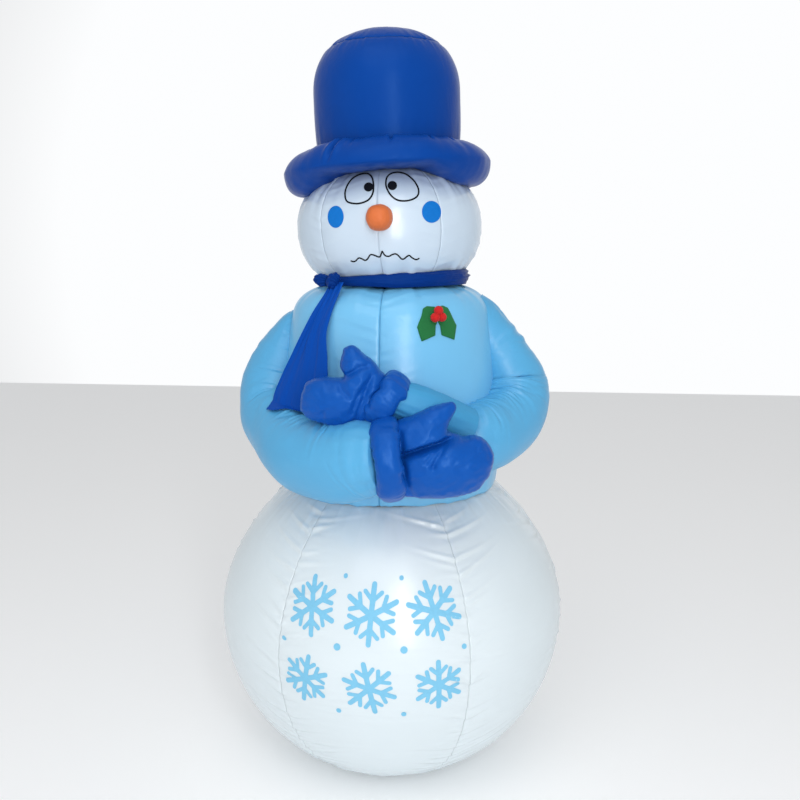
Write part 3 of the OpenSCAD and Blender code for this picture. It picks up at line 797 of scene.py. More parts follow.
def edge_distance(points, line, closed=True):
    """Distance from each point to a line, and how far along the line its nearest place is."""
    a = np.array(line, float)
    b = np.roll(a, -1, axis=0) if closed else a[1:]
    a = a if closed else a[:-1]
    d = b - a
    legs = np.hypot(d[:, 0], d[:, 1])
    run = np.concatenate([[0], np.cumsum(legs)[:-1]])
    rel = points[:, None] - a[None]
    t = np.clip((rel * d[None]).sum(2) / np.maximum(legs ** 2, 1e-12)[None], 0, 1)
    gap = np.linalg.norm(rel - t[..., None] * d[None], axis=2)
    best = gap.argmin(1)
    rows = np.arange(len(points))
    return gap[rows, best], run[best] + t[rows, best] * legs[best]


def inside(points, outline):
    """True for points inside a closed outline."""
    x, y = points[:, 0], points[:, 1]
    result = np.zeros(len(points), bool)
    a, b = outline, np.roll(outline, -1, axis=0)
    for (x0, y0), (x1, y1) in zip(a, b):
        if y0 != y1:
            cross = (y0 > y) != (y1 > y)
            result ^= cross & (x < (x1 - x0) * (y - y0) / (y1 - y0) + x0)
    return result


def fill(outline, spacing):
    """Triangles over a closed outline: points, faces and the number of outline points, which come first."""
    low, high = outline.min(0), outline.max(0)
    rows = np.arange(low[1], high[1], spacing * 0.866)
    grid = [(x + (spacing / 2 if k % 2 else 0), y) for k, y in enumerate(rows)
            for x in np.arange(low[0], high[0], spacing)]
    grid = np.array(grid).reshape(-1, 2)
    grid = grid[inside(grid, outline)] if len(grid) else grid
    if len(grid):
        grid = grid[edge_distance(grid, outline)[0] > spacing * 0.55]
    points = np.concatenate([outline, grid])
    made = delaunay_2d_cdt([Vector(p) for p in points], [], [list(range(len(outline)))], 1, 1e-7)
    points = np.array([tuple(v) for v in made[0]])
    faces = [tuple(f) for f in made[2]]
    fixed = []
    for f in faces:
        a, b, c = points[list(f)]
        area = (b[0] - a[0]) * (c[1] - a[1]) - (b[1] - a[1]) * (c[0] - a[0])
        fixed.append(f if area > 0 else f[::-1])
    return points, fixed, len(outline)


SWELL_ROUNDS = 1600  # enough for the height over the widest hand to settle


def swell(points, outline, cell):
    """Half thickness of an outline blown up like a balloon, at the given points."""
    low, high = outline.min(0) - 2 * cell, outline.max(0) + 2 * cell
    xs, ys = np.arange(low[0], high[0], cell), np.arange(low[1], high[1], cell)
    gx, gy = np.meshgrid(xs, ys)
    mask = inside(np.stack([gx.ravel(), gy.ravel()], 1), outline).reshape(gx.shape)
    h = np.zeros_like(gx)
    for _ in range(SWELL_ROUNDS):
        rounds = np.roll(h, 1, 0) + np.roll(h, -1, 0) + np.roll(h, 1, 1) + np.roll(h, -1, 1)
        h = np.where(mask, (rounds + cell * cell) / 4, 0)
    u, v = (points[:, 0] - low[0]) / cell, (points[:, 1] - low[1]) / cell
    iu, iv = np.clip(u.astype(int), 0, len(xs) - 2), np.clip(v.astype(int), 0, len(ys) - 2)
    fu, fv = u - iu, v - iv
    h = ((h[iv, iu] * (1 - fu) + h[iv, iu + 1] * fu) * (1 - fv)
         + (h[iv + 1, iu] * (1 - fu) + h[iv + 1, iu + 1] * fu) * fv)
    return np.sqrt(2 * np.maximum(h, 0))


FACING = math.radians(6.0)  # the hands lie in a plane turned this far about Z
ACROSS = np.array([math.cos(FACING), math.sin(FACING), 0])
UP = np.array([0, 0, 1.0])
TOWARDS = np.array([math.sin(FACING), -math.cos(FACING), 0])


def puff(name, outline, origin, creases, cloth, seed):
    """Two layers sewn round an outline and blown up; outline in mm across and up from origin.
    Each crease is (line, share of the thickness it takes, width in mm)."""
    spacing, pucker = 4.5 * MM, 1.6 * MM
    edge = closed_curve(np.array(outline, float) * MM, spacing)
    step = np.arange(len(edge)) / 2.7
    edge = edge + 0.9 * MM * np.stack([noise(step, 1.5, seed), noise(step, 7.5, seed)], 1)
    points, faces, count = fill(edge, spacing)
    w = swell(points, edge, 3 * MM)
    far, along_edge = edge_distance(points, edge)
    far[:count] = 0
    w[:count] = 0
    for line, share, width in creases:
        d, _ = edge_distance(points, np.array(line, float) * MM, closed=False)
        w *= 1 - share * near(d, width * MM, 1.6)
    front, back = w.copy(), w.copy()
    fade = np.clip(far / (9 * MM), 0, 1)
    for layer, offset in ((front, 0), (back, 40)):
        folds = noise(along_edge / (11 * MM) + offset, far / (34 * MM), seed + 1)
        folds += 0.6 * noise(along_edge / (5.5 * MM) + offset, far / (22 * MM) + 3, seed + 2)
        layer += pucker * folds * near(far, 30 * MM, 1.5) * fade
        x, y = points[:, 0], points[:, 1]
        layer += 1.5 * MM * noise(x / (30 * MM) + offset, y / (26 * MM), seed + 3) * fade
        slant = (x + 0.6 * y) / (30 * MM) + offset
        dents = np.abs(noise(slant, (y - 0.5 * x) / (17 * MM) + 9, seed + 5))
        layer += 2.6 * MM * (0.35 - 1.5 * dents) * fade
        layer += 0.5 * MM * noise(slant * 3.1, y / (8 * MM), seed + 6) * fade
    n = len(points)
    index = np.concatenate([np.arange(count), n + np.arange(n - count)])
    flat = points[:, :1] * ACROSS + points[:, 1:] * UP + np.array(origin) * MM
    verts = np.concatenate([flat + front[:, None] * TOWARDS, (flat - back[:, None] * TOWARDS)[count:]])
    return mesh_piece(name, verts, faces + [tuple(index[k] for k in f[::-1]) for f in faces], cloth)


RIGHT_HAND = [
    (8, 66), (25, 84), (53, 93), (75, 103), (97, 114), (119, 120), (135, 123.5), (144.5, 122),
    (150, 114), (148.5, 103), (142, 89), (136.5, 78), (131.5, 62), (147, 54), (165, 48.5), (187, 50),
    (205, 46), (218, 35), (227, 20.5), (232, 6), (230, -15), (225, -33), (214, -51), (200, -70),
    (185, -76.5), (165, -82.5), (141, -86.5), (110, -89), (75, -88.5), (45, -86), (18, -78), (4, -60),
    (-4, 0)
]
RIGHT_HAND_AT = (31, -379, 874)
RIGHT_CREASES = [
    ([(10, 4), (35, 12), (60, 22), (90, 32), (115, 39), (137, 47), (150, 52)], 0.62, 7),
    ([(128, 44), (118, 28), (104, 8), (98, -6)], 0.16, 5),
    ([(112, 36), (96, 20), (82, 2)], 0.10, 5),
    ([(205, 40), (216, 22), (219, 8)], 0.14, 5),
    ([(30, 60), (34, 0), (44, -50), (60, -86)], 0.22, 6),
]
LEFT_HAND = [
    (-99, 32), (-84, 39), (-60, 44), (-37, 42), (-18, 44), (-25, 61), (-26, 75), (-18, 103), (-9, 110),
    (2, 113), (14, 107), (27, 95), (49, 78), (65, 56), (76, 44), (76, 10), (62, -30), (44, -52), (10, -62),
    (-5, -63), (-22, -70), (-38, -69), (-55, -64), (-94, -51), (-110, -37), (-115, -23), (-111, 5),
    (-103, 25)
]
LEFT_HAND_AT = (-50, -337, 1000)
LEFT_CREASES = [
    ([(-20, 44), (-2, 54), (18, 66), (34, 70)], 0.30, 6),
    ([(44, 50), (34, 22), (22, -10), (8, -50)], 0.22, 6),
    ([(30, 30), (14, 4), (2, -30)], 0.13, 5),
    ([(-60, -30), (-62, -66)], 0.10, 4),
    ([(-30, 44), (-20, 20), (-4, 6)], 0.12, 5),
]


def build_hand(name, node, outline, at, creases, cloth, seed):
    """A stuffed mitten, its mesh smoothed by one subdivision."""
    piece = puff(name, outline, at, creases, cloth, seed)
    modifier = piece.modifiers.new("subdivision", "SUBSURF")
    modifier.levels = modifier.render_levels = 1
    stand_for(piece, node)


def build_cuff(name, node, at, axis, ring, tube, cloth, seed, squash=(1, 1)):
    """A puffy band round the wrist, its pleats running along the arm."""
    axis = np.array(axis, float)
    axis /= np.linalg.norm(axis)
    first = np.cross(axis, TOWARDS)
    first /= np.linalg.norm(first)
    second = np.cross(axis, first)
    rows, columns = 220, 44
    a, t = np.meshgrid(full_turn(rows), full_turn(columns), indexing="ij")
    wave = np.stack([np.cos(a), np.sin(a)])
    turn = np.degrees(a)
    folds = round_noise(turn, 13, t / 2.2, seed) + 0.6 * round_noise(turn, 6, t / 1.3, seed + 3)
    fat = tube * MM * (1 + 0.07 * noise(3 * wave[0] + 5, 3 * wave[1] + 5, seed + 1))
    fat = fat + 2.2 * MM * folds * (0.45 + 0.55 * np.abs(np.sin(t)))
    fat -= 2.2 * MM * np.clip(round_noise(turn, 27, np.sin(t) * 0.8 + 4, seed + 2) - 0.25, 0, 1) * 2
    c, s = np.cos(t), np.sin(t)
    out = ring * MM + fat * np.sign(c) * np.abs(c) ** 0.8 * squash[0]
    side = fat * np.sign(s) * np.abs(s) ** 0.8 * squash[1]
    spoke = wave[0][..., None] * first + wave[1][..., None] * second
    points = np.array(at) * MM + out[..., None] * spoke + side[..., None] * axis
    stuffed_piece(name, node, points, cloth, ring=True)


# ---------- sleeves ----------

def smooth_path(points, count):
    """A Catmull-Rom curve through rows of numbers, in count + 1 samples."""
    p = np.array(points, float)
    n = len(p) - 1
    out = []
    for t in np.linspace(0, n, count + 1):
        i = min(int(t), n - 1)
        f = t - i
        out.append(between(p[max(0, i - 1)], p[i], p[i + 1], p[min(n, i + 2)], f))
    return np.array(out)


def frames_along(path, up):
    """Unit tangents, sides and ups along a path."""
    t = np.gradient(path, axis=0)
    t /= np.linalg.norm(t, axis=1)[:, None]
    side = np.cross(t, np.array(up, float))
    side /= np.linalg.norm(side, axis=1)[:, None]
    return t, side, np.cross(side, t)


# Balls along each sleeve, from the shoulder down: x, y, z and radius in mm
RIGHT_ARM = np.array([
    [-196, -8, 1138, 40], [-222, -8, 1122, 49], [-246, -10, 1098, 56], [-268, -28, 1045, 74],
    [-286, -60, 974, 86], [-278, -114, 912, 84], [-228, -200, 877, 81], [-165, -280, 852, 88],
    [-80, -337, 851, 90], [-22, -366, 868, 86], [24, -380, 874, 76]
]) * MM
LEFT_ARM = np.array([
    [186, -8, 1148, 66], [212, -8, 1130, 68], [244, -8, 1098, 66], [276, -12, 1042, 76], [303, -22, 974, 88],
    [295, -76, 917, 87], [257, -148, 889, 83], [222, -200, 886, 81], [196, -236, 900, 66],
    [182, -252, 912, 40]
]) * MM
LEFT_FOREARM = np.array([
    [196, -258, 925, 42], [160, -287, 945, 43], [122, -310, 966, 44], [88, -323, 981, 44],
    [40, -336, 1000, 40]
]) * MM


def tube_piece(name, node, line, relief, material):
    """A blown-up sleeve round a chain of balls."""
    rows, columns = 270, 170
    path = smooth_path(line, rows)
    centre, radius = path[:, :3], path[:, 3]
    tangent, side, up = frames_along(centre, (0.0, 0.25, 1))
    run = np.concatenate([[0], np.cumsum(np.linalg.norm(np.diff(centre, axis=0), axis=1))])
    bend = np.gradient(tangent, axis=0) / np.gradient(run)[:, None]
    a = full_turn(columns)
    run_grid, a_grid = np.meshgrid(run, a, indexing="ij")
    spoke = np.cos(a_grid)[..., None] * side[:, None] + np.sin(a_grid)[..., None] * up[:, None]
    inner = (spoke * bend[:, None]).sum(2)
    rad = radius[:, None] + relief(run_grid, a_grid, run[-1], inner)
    points = centre[:, None] + rad[..., None] * spoke
    stuffed_piece(name, node, points, material)


def sleeve_relief(seed, gathers=(), tight=1.0):
    """Creases that gather at the inside of the bends, at both ends and at the gathers, each
    (place along, reach along, angle round, reach round, height, pitch), in metres and degrees."""
    def relief(run, a, length, inner):
        c, s = np.cos(a), np.sin(a)
        up = (2.2 * MM * noise(run / 0.085, 2.2 * c + 9, seed)
              + 1.2 * MM * noise(run / 0.05, 2.5 * s + 5, seed + 1))
        fold = np.clip(inner / 6.0, 0, 1.3)
        up += 3.0 * MM * fold * noise(run / 0.0125, 0.6 * c + 0.9 * s + 3, seed + 2)
        end = near(length - run, 0.055, 1.5)
        up += 2.0 * MM * end * round_noise(np.degrees(a), 12, run / 0.06, seed + 4)
        start = near(run - 0.045, 0.05, 1.5)
        up += 1.8 * MM * start * round_noise(np.degrees(a), 14, run / 0.05, seed + 5)
        for i, (place, reach, angle, spread, height, pitch) in enumerate(gathers):
            turn = turn_from(np.degrees(a), angle)
            here = near(run - place, reach, 2) * near(turn, spread, 2)
            fan = (run - place) / (1 + 0.006 * turn)
            ridge = noise(fan / pitch + 50, turn / 55 + 20, seed + 6 + i)
            up += height * here * (np.abs(ridge) * 2 - 0.5)
        return up * tight
    return relief


RIGHT_GATHERS = [(0.10, 0.05, 60, 60, 2.2 * MM, 0.014), (0.30, 0.07, 120, 50, 4.2 * MM, 0.011),
                 (0.44, 0.09, 78, 36, 4.2 * MM, 0.013), (0.58, 0.06, 70, 30, 3.6 * MM, 0.015),
                 (0.69, 0.05, 30, 160, 2.0 * MM, 0.018)]
LEFT_GATHERS = [(0.10, 0.05, 60, 60, 2.6 * MM, 0.014), (0.29, 0.07, 110, 55, 4.0 * MM, 0.012),
                (0.40, 0.08, 70, 44, 3.6 * MM, 0.014), (0.49, 0.05, 30, 160, 2.2 * MM, 0.014)]
FOREARM_GATHERS = [(0.09, 0.08, 40, 90, 1.4 * MM, 0.015)]


def build_arms(sky, dull_shaded_sky):
    tube_piece("right_sleeve_cloth", "right_sleeve", RIGHT_ARM, sleeve_relief(101, RIGHT_GATHERS), sky)
    tube_piece("left_sleeve_cloth", "left_sleeve", LEFT_ARM, sleeve_relief(121, LEFT_GATHERS), sky)
    # The forearm gets the darker copy of the sky blue: painted shade.
    tube_piece("left_forearm_cloth", "left_inner_sleeve", LEFT_FOREARM,
               sleeve_relief(141, FOREARM_GATHERS, 0.8), dull_shaded_sky)


# ---------- scarf ----------

SCARF_CLOTH = 1.0 * MM


def build_scarf(cloth, lit_end_cloth):
    build_neck_band(cloth)
    build_tail(lit_end_cloth)
    build_knot(cloth)


def build_neck_band(cloth):
    """A gathered strip round the neck, narrow at the knot and broad at the left shoulder."""
    a, t = np.meshgrid(np.linspace(0, 360, 361)[:-1], np.linspace(-1, 1, 40), indexing="ij")
    knot = near(turn_from(a, 232), 34, 2)
    wide = 0.5 + 0.5 * np.cos(np.radians(a - 330))
    half = (11.5 + 6.5 * wide - 3.5 * knot) * MM
    middle = (1241.5 + 3.5 * wide) * MM
    radius = (181 + 3 * wide) * MM
    belly = (9 * (1 - t * t) + 1.5) * MM
    way = np.radians(a)
    lanes = 1.6 * t + 0.9 * noise(1.3 * np.cos(way) + 4, 1.3 * np.sin(way) + 4, 201)
    folds = 2.6 * MM * (0.5 - 2.2 * np.abs(noise(lanes + 30, 1.6 * np.cos(way - 0.9) + 5, 202)))
    folds += (0.9 * MM * noise(3 * lanes + 30, 5 * np.cos(way) + 9, 203)
              + 0.5 * MM * round_noise(a, 4, t * 3, 204))
    folds *= 1 - 0.75 * t ** 6
    r = radius + belly + folds
    z = middle + half * (t + 0.08 * round_noise(a, 20, t * 2, 205))
    grid = lean(round_axis(r, way, z), 0.5 * LEAN)
    rows, columns = a.shape
    faces = [(i * columns + j, (i + 1) % rows * columns + j,
              (i + 1) % rows * columns + j + 1, i * columns + j + 1)
             for i in range(rows) for j in range(columns - 1)]
    piece = mesh_piece("scarf_band_cloth", grid.reshape(-1, 3), faces, cloth)
    thicken(piece, SCARF_CLOTH)
    stand_for(piece, "scarf_neck_band")


# The long end's middle line and half width, from the knot to the hem: x, y, z and half width in mm
TAIL = np.array([
    [-106, -184, 1240, 19], [-118, -196, 1212, 21], [-138, -212, 1170, 28], [-155, -222, 1125, 37],
    [-166, -232, 1075, 56], [-178, -238, 1030, 71], [-194, -242, 985, 74], [-204, -247, 944, 60]
]) * MM


def clear_of(points, chain, gap):
    """Moves points that are closer than gap to a chain of balls straight out of it."""
    path = smooth_path(chain, 160)
    away = points[..., None, :] - path[:, :3]
    distance = np.linalg.norm(away, axis=-1)
    depth = path[:, 3] + gap - distance
    deepest = depth.argmax(-1)[..., None]
    inside_by = np.clip(np.take_along_axis(depth, deepest, -1), 0, None)
    push = inside_by / np.take_along_axis(distance, deepest, -1)
    return points + push * np.take_along_axis(away, deepest[..., None], -2)[..., 0, :]


def build_tail(cloth):
    """The long end: a strip hung from the knot, its folds spreading towards the hem."""
    rows, columns = 110, 110
    path = smooth_path(TAIL, rows - 1)
    s, t = np.meshgrid(np.linspace(0, 1, rows), np.linspace(-1, 1, columns), indexing="ij")
    centre, half = path[:, None, :3], path[:, 3][:, None]
    angle = np.radians(-127 + 11 * s)
    across = np.stack([-np.sin(angle), np.cos(angle), np.zeros_like(angle)], 2)
    out = np.stack([np.cos(angle), np.sin(angle), np.zeros_like(angle)], 2)
    depth = (8.5 * (1 - s) ** 0.7 + 4.2 * s) * MM
    lanes = 1.5 * t + 0.5 * noise(s * 1.2 + 2, t * 1.2 + 4, 211)
    folds = depth * (0.55 - 2.4 * np.abs(noise(lanes + 20, s * 0.7 + 3, 216)))
    folds += 2.0 * MM * noise(s * 2.5, t * 5, 212) + 0.6 * MM * noise(s * 8, t * 9, 213)
    drop = MM * s ** 3 * (19 - 4 * t + 5 * s * noise(t * 2.2, 0.5, 214))
    points = centre + (half * t * (1 + 0.04 * noise(s * 3, np.sign(t) * 2, 215)))[..., None] * across
    points = points + folds[..., None] * out - drop[..., None] * np.array([0, 0, 1.0])
    points = clear_of(points, RIGHT_ARM, 6 * MM)
    piece = grid_piece("scarf_tail_cloth", points, cloth)
    thicken(piece, SCARF_CLOTH)
    stand_for(piece, "scarf_tail")


def lump(name, at, radii, turn, seed, material, wraps, depth=3 * MM):
    """A wad of folded cloth: an egg whose creases wind round it, turned about X and then Y."""
    rows, columns = 60, 90
    a, t = np.meshgrid(full_turn(columns), np.linspace(0.02, math.pi - 0.02, rows))
    x, y, z = np.sin(t) * np.cos(a), np.sin(t) * np.sin(a), np.cos(t)
    swirl = wraps * z + 0.9 * np.sin(a + 1.3 * z)
    up = (depth * (np.abs(np.sin(swirl * math.pi)) - 0.6)
          + 1.2 * MM * noise(3 * x + 5, 3 * y + 3 * z + 7, seed))
    size = 1 + up / (np.mean(radii) * MM)
    points = np.stack([x * radii[0], y * radii[1], z * radii[2]], 2) * MM * size[..., None]
    turned = points @ np.array(Matrix.Rotation(math.radians(turn[1]), 3, "Y") @ Matrix.Rotation(
        math.radians(turn[0]), 3, "X")).T
    stuffed_piece(name, "scarf_knot", turned + np.array(at) * MM, material)


def build_knot(cloth):
    lump("scarf_knot_cloth", (-115, -186, 1243), (15, 14, 19), (0, 20), 221, cloth, wraps=2.1)
    lump("scarf_short_end_cloth", (-146, -158, 1244), (20, 11, 14), (0, 10), 222, cloth, wraps=2.2)


# ---------- prints and appliques on the cloth ----------

class Skin:
    """The outside of some cloth pieces, for laying prints on."""

    def __init__(self, pieces):
        verts, faces = [], []
        for piece in pieces:
            start = len(verts)
            verts += [tuple(v.co) for v in piece.data.vertices]
            faces += [tuple(start + k for k in f.vertices) for f in piece.data.polygons]
        self.tree = BVHTree.FromPolygons(verts, faces)

    def drop(self, origin, direction, lift):
        """Where a line from origin meets the skin, raised by lift."""
        place, normal, _, _ = self.tree.ray_cast(Vector(origin), Vector(direction))
        if place is None:
            place, normal, _, _ = self.tree.find_nearest(Vector(origin))
        if normal.dot(Vector(direction)) > 0:
            normal = -normal
        return place + normal * lift


def lay(name, shapes, skin, centre, facing, material, lift=0.55 * MM, turn=0.0):
    """Lays flat shapes, each (points, faces) in metres across and up, on a skin seen along facing."""
    facing = np.array(facing, float) / np.linalg.norm(facing)
    across = np.cross(facing, UP)
    across = across / np.linalg.norm(across)
    high = np.cross(facing, across)
    high = high if high[2] > 0 else -high
    verts, faces = [], []
    c, s = math.cos(turn), math.sin(turn)
    for points, some in shapes:
        start = len(verts)
        for x, y in points:
            u, v = x * c - y * s, x * s + y * c
            origin = np.array(centre) + across * u + high * v - facing * 0.15
            verts.append(tuple(skin.drop(origin, facing, lift)))
        faces += [tuple(start + k for k in f) for f in some]
    piece = mesh_piece(name, verts, faces, material)
    face_out(piece, -facing)
    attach(piece, "root")
    return piece


def face_out(piece, way):
    """Turns the faces that look away from the given direction."""
    bm = bmesh.new()
    bm.from_mesh(piece.data)
    bm.normal_update()
    away = [f for f in bm.faces if f.normal.dot(Vector(way)) < 0]
    bmesh.ops.reverse_faces(bm, faces=away)
    bm.to_mesh(piece.data)
    bm.free()


def blob(points, spacing=3.0, sharp=False):
    """A filled smooth shape, its points in mm."""
    outline = closed_curve(np.array(points, float) * MM, spacing * MM, sharp)
    made, faces, _ = fill(outline, max(spacing, 3.5) * MM)
    return made, faces


def disc(x, y, r):
    """A filled round dot, in mm."""
    a = full_turn(24)
    return blob(np.stack([x + r * np.cos(a), y + r * np.sin(a)], 1), 2.2)


def stroke(points, width, closed=False, step=2.0):
    """A drawn line of even width through given points, in mm."""
    p = np.array(points, float) * MM
    if closed:
        line = closed_curve(p, step * MM)
        ahead, behind = np.roll(line, -1, 0), np.roll(line, 1, 0)
    else:
        line = smooth_path(p, int(np.hypot(*np.diff(p, axis=0).T).sum() / (step * MM)))
        ahead, behind = np.vstack([line[1:], line[-1:]]), np.vstack([line[:1], line[:-1]])
    d = ahead - behind
    side = np.stack([-d[:, 1], d[:, 0]], 1) / np.maximum(np.hypot(d[:, 0], d[:, 1]), 1e-9)[:, None]
    half = width * MM / 2 * np.ones(len(line))
    if not closed:
        half[[0, -1]] *= 0.45
    rows = [line + side * half[:, None] * k for k in (-1, 0, 1)]
    n = len(line)
    verts = np.concatenate(rows)
    count = n if closed else n - 1
    faces = [(r * n + i, r * n + (i + 1) % n, (r + 1) * n + (i + 1) % n, (r + 1) * n + i)
             for r in (0, 1) for i in range(count)]
    return verts, faces


# The face's middle in metres, and its lines in mm across and up from there
FACE_AT = (0.0, -0.2266, 1.385)
LEFT_EYE = [(-55.7, 31), (-74.7, 36), (-80.6, 52), (-77.6, 69.7), (-65.9, 88.8), (-48.3, 99),
            (-30.8, 100.5), (-20.5, 91.7), (-16.1, 75.6), (-16.7, 55.1), (-24.9, 40.4), (-39.5, 33.1)]
RIGHT_EYE = [(12.6, 69.7), (13.2, 87.3), (20.5, 97.6), (33.7, 102.5), (48.3, 102), (63, 94.6), (76.2, 81.5),
             (85, 63.9), (83.5, 49.2), (71.8, 40.4), (54.2, 36.6), (36.6, 39), (22, 50.7)]
MOUTH = [(-68.9, -95.2), (-63, -97.3), (-57.1, -95.8), (-49.8, -89.1), (-42.5, -90.8), (-35.2, -94.3),
         (-29.3, -90.8), (-23.4, -82), (-16.1, -82), (-7.3, -85.6), (-1.5, -86.1), (2.1, -78.2), (3.8, -73.8),
         (7.3, -79.7), (11.7, -84.1), (19, -85), (26.4, -81.2), (33.7, -79.7), (39.6, -83.2), (46.9, -90.8),
         (52.7, -90.8), (58.6, -86.1), (64.5, -83.2), (70.3, -87.9), (77.6, -92), (82, -92.3), (87.9, -89.4)]


def build_face(skin, ink, blue):
    facing = -TOWARDS
    eyes = [stroke(eye, 3.9, closed=True) for eye in (LEFT_EYE, RIGHT_EYE)]
    lay("eyes_print", eyes, skin, FACE_AT, facing, ink)
    # The pupils lie over the eyes' outlines
    pupils = [disc(-27, 68, 10.6), disc(26.4, 70.9, 10.6)]
    lay("pupils_print", pupils, skin, FACE_AT, facing, ink, lift=0.75 * MM)
    lay("mouth_print", [stroke(MOUTH, 3.3)], skin, FACE_AT, facing, ink)
    cheeks = [blob([(x + rx * math.cos(a), y + ry * math.sin(a)) for a in full_turn(23)], 2.4)
              for x, y, rx, ry in ((-101.7, 2.6, 19, 24.6), (114.6, 13.2, 22, 24.3))]
    lay("cheeks_print", cheeks, skin, FACE_AT, facing, blue)


def snowflake(size, width, notch=0.5, branch=0.27):
    """The outline of a six-armed flake with one pair of branches on each arm, rounded at the tips."""
    w = width / 2
    root = size * notch
    reach = size * branch * math.sqrt(0.5)
    arm = [(w, 1.732 * w), (w, root - w * 0.9)]
    tip = (w + reach, root + reach)
    for f in (-80, -40, 0, 40, 80):
        a = math.radians(45 + f)
        arm.append((tip[0] + w * 0.8 * math.cos(a), tip[1] + w * 0.8 * math.sin(a)))
    arm.append((w, root + w * 1.15))
    for f in (20, 50, 80):
        arm.append((w * math.cos(math.radians(f)), size - w + w * math.sin(math.radians(f))))
    whole = arm + [(-x, y) for x, y in reversed(arm)][:-1]
    outline = []
    for k in range(6):
        c, s = math.cos(math.radians(60 * k)), math.sin(math.radians(60 * k))
        outline += [(x * c - y * s, x * s + y * c) for x, y in whole]
    return outline


# Angle about Z, height in metres, size, arm width in mm and turn in degrees of each flake
FLAKES = [(-109.5, 0.532, 64, 12, 8), (-90, 0.528, 66, 12, -4), (-70.5, 0.532, 64, 12, 14),
          (-110, 0.372, 60, 12, -10), (-90.3, 0.368, 64, 12, 12), (-70, 0.372, 60, 12, 2)]
# Angle, height and radius of each dot
SPECKS = [(-99.8, 0.458, 8), (-80.2, 0.458, 8), (-118, 0.452, 6), (-62, 0.452, 6), (-99.8, 0.305, 6),
          (-80.2, 0.305, 6), (-99.6, 0.6, 5), (-80.4, 0.6, 5)]
PRINT_FROM = 0.42  # the ball's pattern is dropped on it from this far out


def around(angle, z, radius):
    """A place at an angle about Z, and the direction from there to the axis."""
    a = math.radians(angle)
    return (radius * math.cos(a), radius * math.sin(a), z), (-math.cos(a), -math.sin(a), 0)


def build_flakes(skin, ink):
    for i, (angle, z, size, width, turn) in enumerate(FLAKES):
        centre, facing = around(angle, z, PRINT_FROM)
        shape = blob(snowflake(size, width), 3.0, sharp=True)
        lay(f"snowflake_print_{i + 1}", [shape], skin, centre, facing, ink, turn=math.radians(turn))
    for i, (angle, z, size) in enumerate(SPECKS):
        centre, facing = around(angle, z, PRINT_FROM)
        lay(f"speck_print_{i + 1}", [disc(0, 0, size)], skin, centre, facing, ink)


# The sprig on the chest: its angle about Z, and half a leaf's outline in mm
HOLLY_TURN = -59.3
LEAF = [(-1, 34), (-17, 36), (-27, 31), (-34, 12), (-43, -9), (-40, -24), (-36, -41), (-22, -35), (-7, -29),
        (-5, -7), (-1, 0)]


def build_holly(skin, felt):
    centre, facing = around(HOLLY_TURN, 1.152, 0.25)
    for name, side in (("holly_leaf_right", 1), ("holly_leaf_left", -1)):
        leaf = np.array([(1.16 * x * side, y) for x, y in LEAF], float) * MM
        outline = closed_curve(leaf, 2.5 * MM, sharp=True)
        points, faces, _ = fill(outline, 4 * MM)
        piece = lay(name, [(points, faces)], skin, centre, facing, felt, lift=1.6 * MM)
        ripple_leaf(piece, points, side, -np.array(facing))
        thicken(piece, 1.4 * MM)
        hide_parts("holly_leaves")


def ripple_leaf(piece, flat, side, out):
    """Lifts a felt leaf's edges a little, unevenly."""
    for v, (x, y) in zip(piece.data.vertices, flat):
        lift = 1.5 * MM * (0.5 + 0.5 * float(noise(x / 0.014, y / 0.016, 240 + side)))
        v.co += Vector(out) * lift


# Across, up and radius of each pompom, in mm
BERRIES = [(-4.6, 23.0, 10.5), (-13.0, 7.6, 10.5), (4.0, 8.2, 10.5)]


def build_berries(red):
    """Pompoms: fuzzy balls of cut yarn."""
    centre, facing = around(HOLLY_TURN, 1.157, 0.2635)
    facing = np.array(facing)
    across = np.cross(facing, UP)
    for i, (x, y, r) in enumerate(BERRIES):
        bm = bmesh.new()
        bmesh.ops.create_icosphere(bm, subdivisions=5, radius=r * MM)
        co = np.array([v.co for v in bm.verts])
        n = co / np.linalg.norm(co, axis=1)[:, None]
        tuft = noise(n[:, 0] * 14 + 20, n[:, 1] * 14 + n[:, 2] * 9 + 20, 250 + i)
        tuft += 0.6 * noise(n[:, 2] * 30 + 40, n[:, 0] * 26 + n[:, 1] * 17 + 40, 253 + i)
        at = np.array(centre) + across * x * MM + UP * y * MM - facing * 1.5 * MM
        for v, up in zip(bm.verts, tuft):
            v.co = Vector(at) + v.co * (1 + 0.045 * up)
        mesh = bpy.data.meshes.new(f"holly_berry_{i + 1}")
        bm.to_mesh(mesh)
        bm.free()
        piece = link(mesh.name, mesh, red)
        stand_for(piece, "holly_berries")


def build_nose(cloth):
    """A short stuffed cone with a ring seam, blunt and slightly squared."""
    rows, columns = 60, 96
    t, a = np.meshgrid(np.linspace(0, 1, rows), full_turn(columns), indexing="ij")
    profile = np.interp(t, [0, 0.12, 0.35, 0.6, 0.8, 0.92, 1.0], [29.5, 30.2, 29, 25.5, 19, 11, 0.6])
    reach = np.interp(t, [0, 0.12, 0.35, 0.6, 0.8, 0.92, 1.0], [-4, 2, 14, 26, 34.5, 39, 41])
    square = 1 - 0.02 * np.cos(4 * a)
    up = (0.9 * noise(a / (2 * math.pi) * 22, t * 3, 261) * near(t, 0.4)
          + 0.5 * noise(3 * np.cos(a) + 5, 3 * np.sin(a) + 4 * t + 5, 262))
    r = (profile * square + up) * MM
    points = np.stack([r * np.cos(a) - 2 * MM, -reach * MM, r * np.sin(a)], 2) + np.array(FACE_AT)
    stuffed_piece("nose_cloth", "nose", points, cloth)


# ---------- base, blower collar, straps, zipper tapes and light cord ----------

